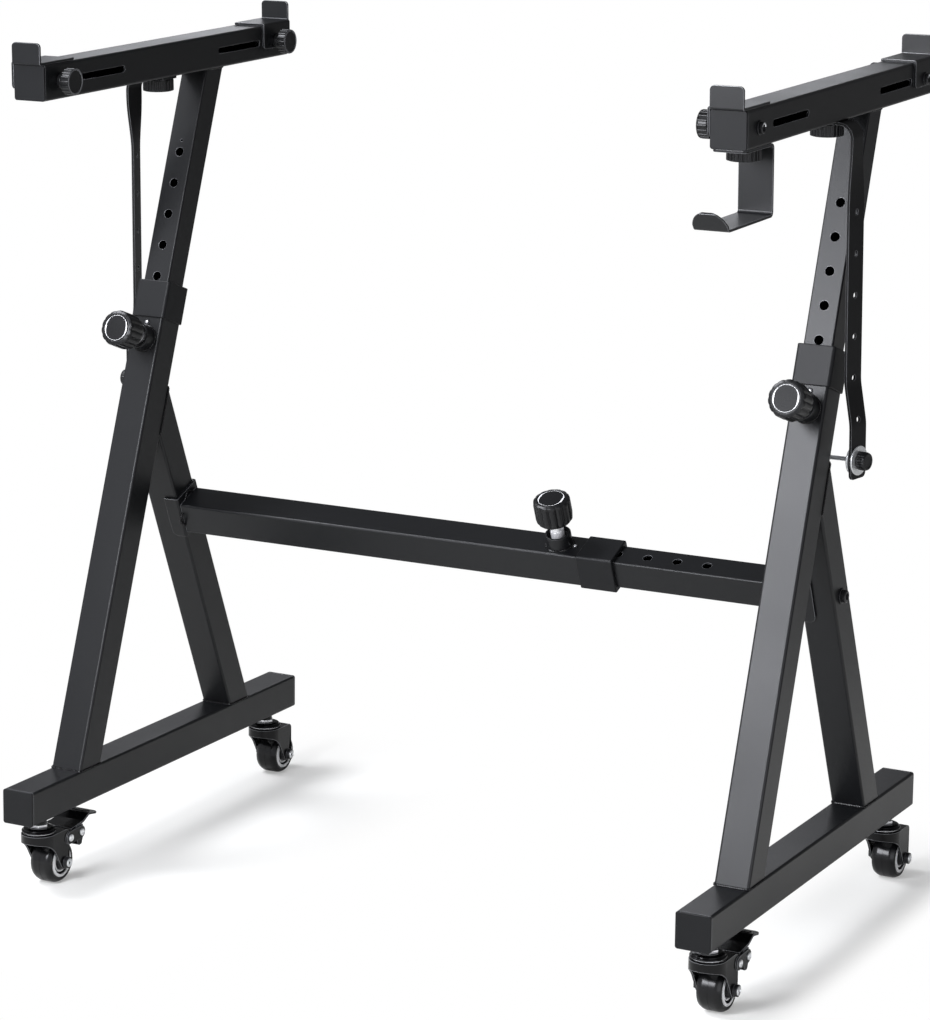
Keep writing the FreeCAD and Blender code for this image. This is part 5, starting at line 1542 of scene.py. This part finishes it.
class OBJECT_OT_stand_knobs(StandOperator, bpy.types.Operator):
    """Make the ribbed stop knobs and thumb knobs"""

    bl_idname = "object.stand_knobs"
    bl_label = "Ribbed Knobs"

    def execute(self, context):
        scene = self.prepare(context)
        make_stop_knobs(scene)
        make_thumb_knobs(scene)
        return {"FINISHED"}


class OBJECT_OT_stand_stops(StandOperator, bpy.types.Operator):
    """Dress the folded keyboard stops and set their screws"""

    bl_idname = "object.stand_stops"
    bl_label = "Stops"

    def execute(self, context):
        make_stops(self.prepare(context))
        return {"FINISHED"}


class OBJECT_OT_stand_straps(StandOperator, bpy.types.Operator):
    """Hang the straps and turn the studs that hold their lower ends"""

    bl_idname = "object.stand_straps"
    bl_label = "Straps"

    def execute(self, context):
        self.prepare(context)
        make_straps()
        make_strap_studs()
        return {"FINISHED"}


class OBJECT_OT_stand_hook(StandOperator, bpy.types.Operator):
    """Dress the bent headphone hook"""

    bl_idname = "object.stand_hook"
    bl_label = "Headphone Hook"

    def execute(self, context):
        make_hook(self.prepare(context))
        return {"FINISHED"}


class OBJECT_OT_stand_casters(StandOperator, bpy.types.Operator):
    """Make the casters: mounts, forks, wheels and brake pedals"""

    bl_idname = "object.stand_casters"
    bl_label = "Casters"

    def execute(self, context):
        scene = self.prepare(context)
        make_caster_mounts()
        make_forks(scene)
        make_wheels()
        make_pedals(scene)
        return {"FINISHED"}


class OBJECT_OT_stand_stage(StandOperator, bpy.types.Operator):
    """Set the camera, the lamps, the white surroundings and the floor"""

    bl_idname = "object.stand_stage"
    bl_label = "Stage"

    def execute(self, context):
        make_stage(context.scene)
        return {"FINISHED"}


OPERATORS = (
    OBJECT_OT_stand_tubes,
    OBJECT_OT_stand_welds,
    OBJECT_OT_stand_caps,
    OBJECT_OT_stand_pull_pins,
    OBJECT_OT_stand_knobs,
    OBJECT_OT_stand_stops,
    OBJECT_OT_stand_straps,
    OBJECT_OT_stand_hook,
    OBJECT_OT_stand_casters,
    OBJECT_OT_stand_stage,
)


class VIEW3D_PT_keyboard_stand(bpy.types.Panel):
    """Sidebar panel that lists the settings and the operators"""

    bl_idname = "VIEW3D_PT_keyboard_stand"
    bl_label = "Keyboard Stand"
    bl_space_type = "VIEW_3D"
    bl_region_type = "UI"
    bl_category = "Keyboard Stand"

    def draw(self, context):
        layout = self.layout
        for name, group in SETTINGS.items():
            column = layout.column(align=True)
            settings = getattr(context.scene, name)
            for key in group.__annotations__:
                column.prop(settings, key)
        for operator in OPERATORS:
            layout.operator(operator.bl_idname)


CLASSES = (*SETTINGS.values(), *OPERATORS, VIEW3D_PT_keyboard_stand)


def register():
    for item in CLASSES:
        bpy.utils.register_class(item)
    for name, group in SETTINGS.items():
        setattr(bpy.types.Scene, name, bpy.props.PointerProperty(type=group))


def unregister():
    for name in SETTINGS:
        delattr(bpy.types.Scene, name)
    for item in reversed(CLASSES):
        bpy.utils.unregister_class(item)


def main():
    register()
    for operator in OPERATORS:
        group, name = operator.bl_idname.split(".")
        getattr(getattr(bpy.ops, group), name)()


if __name__ == "__main__":
    main()
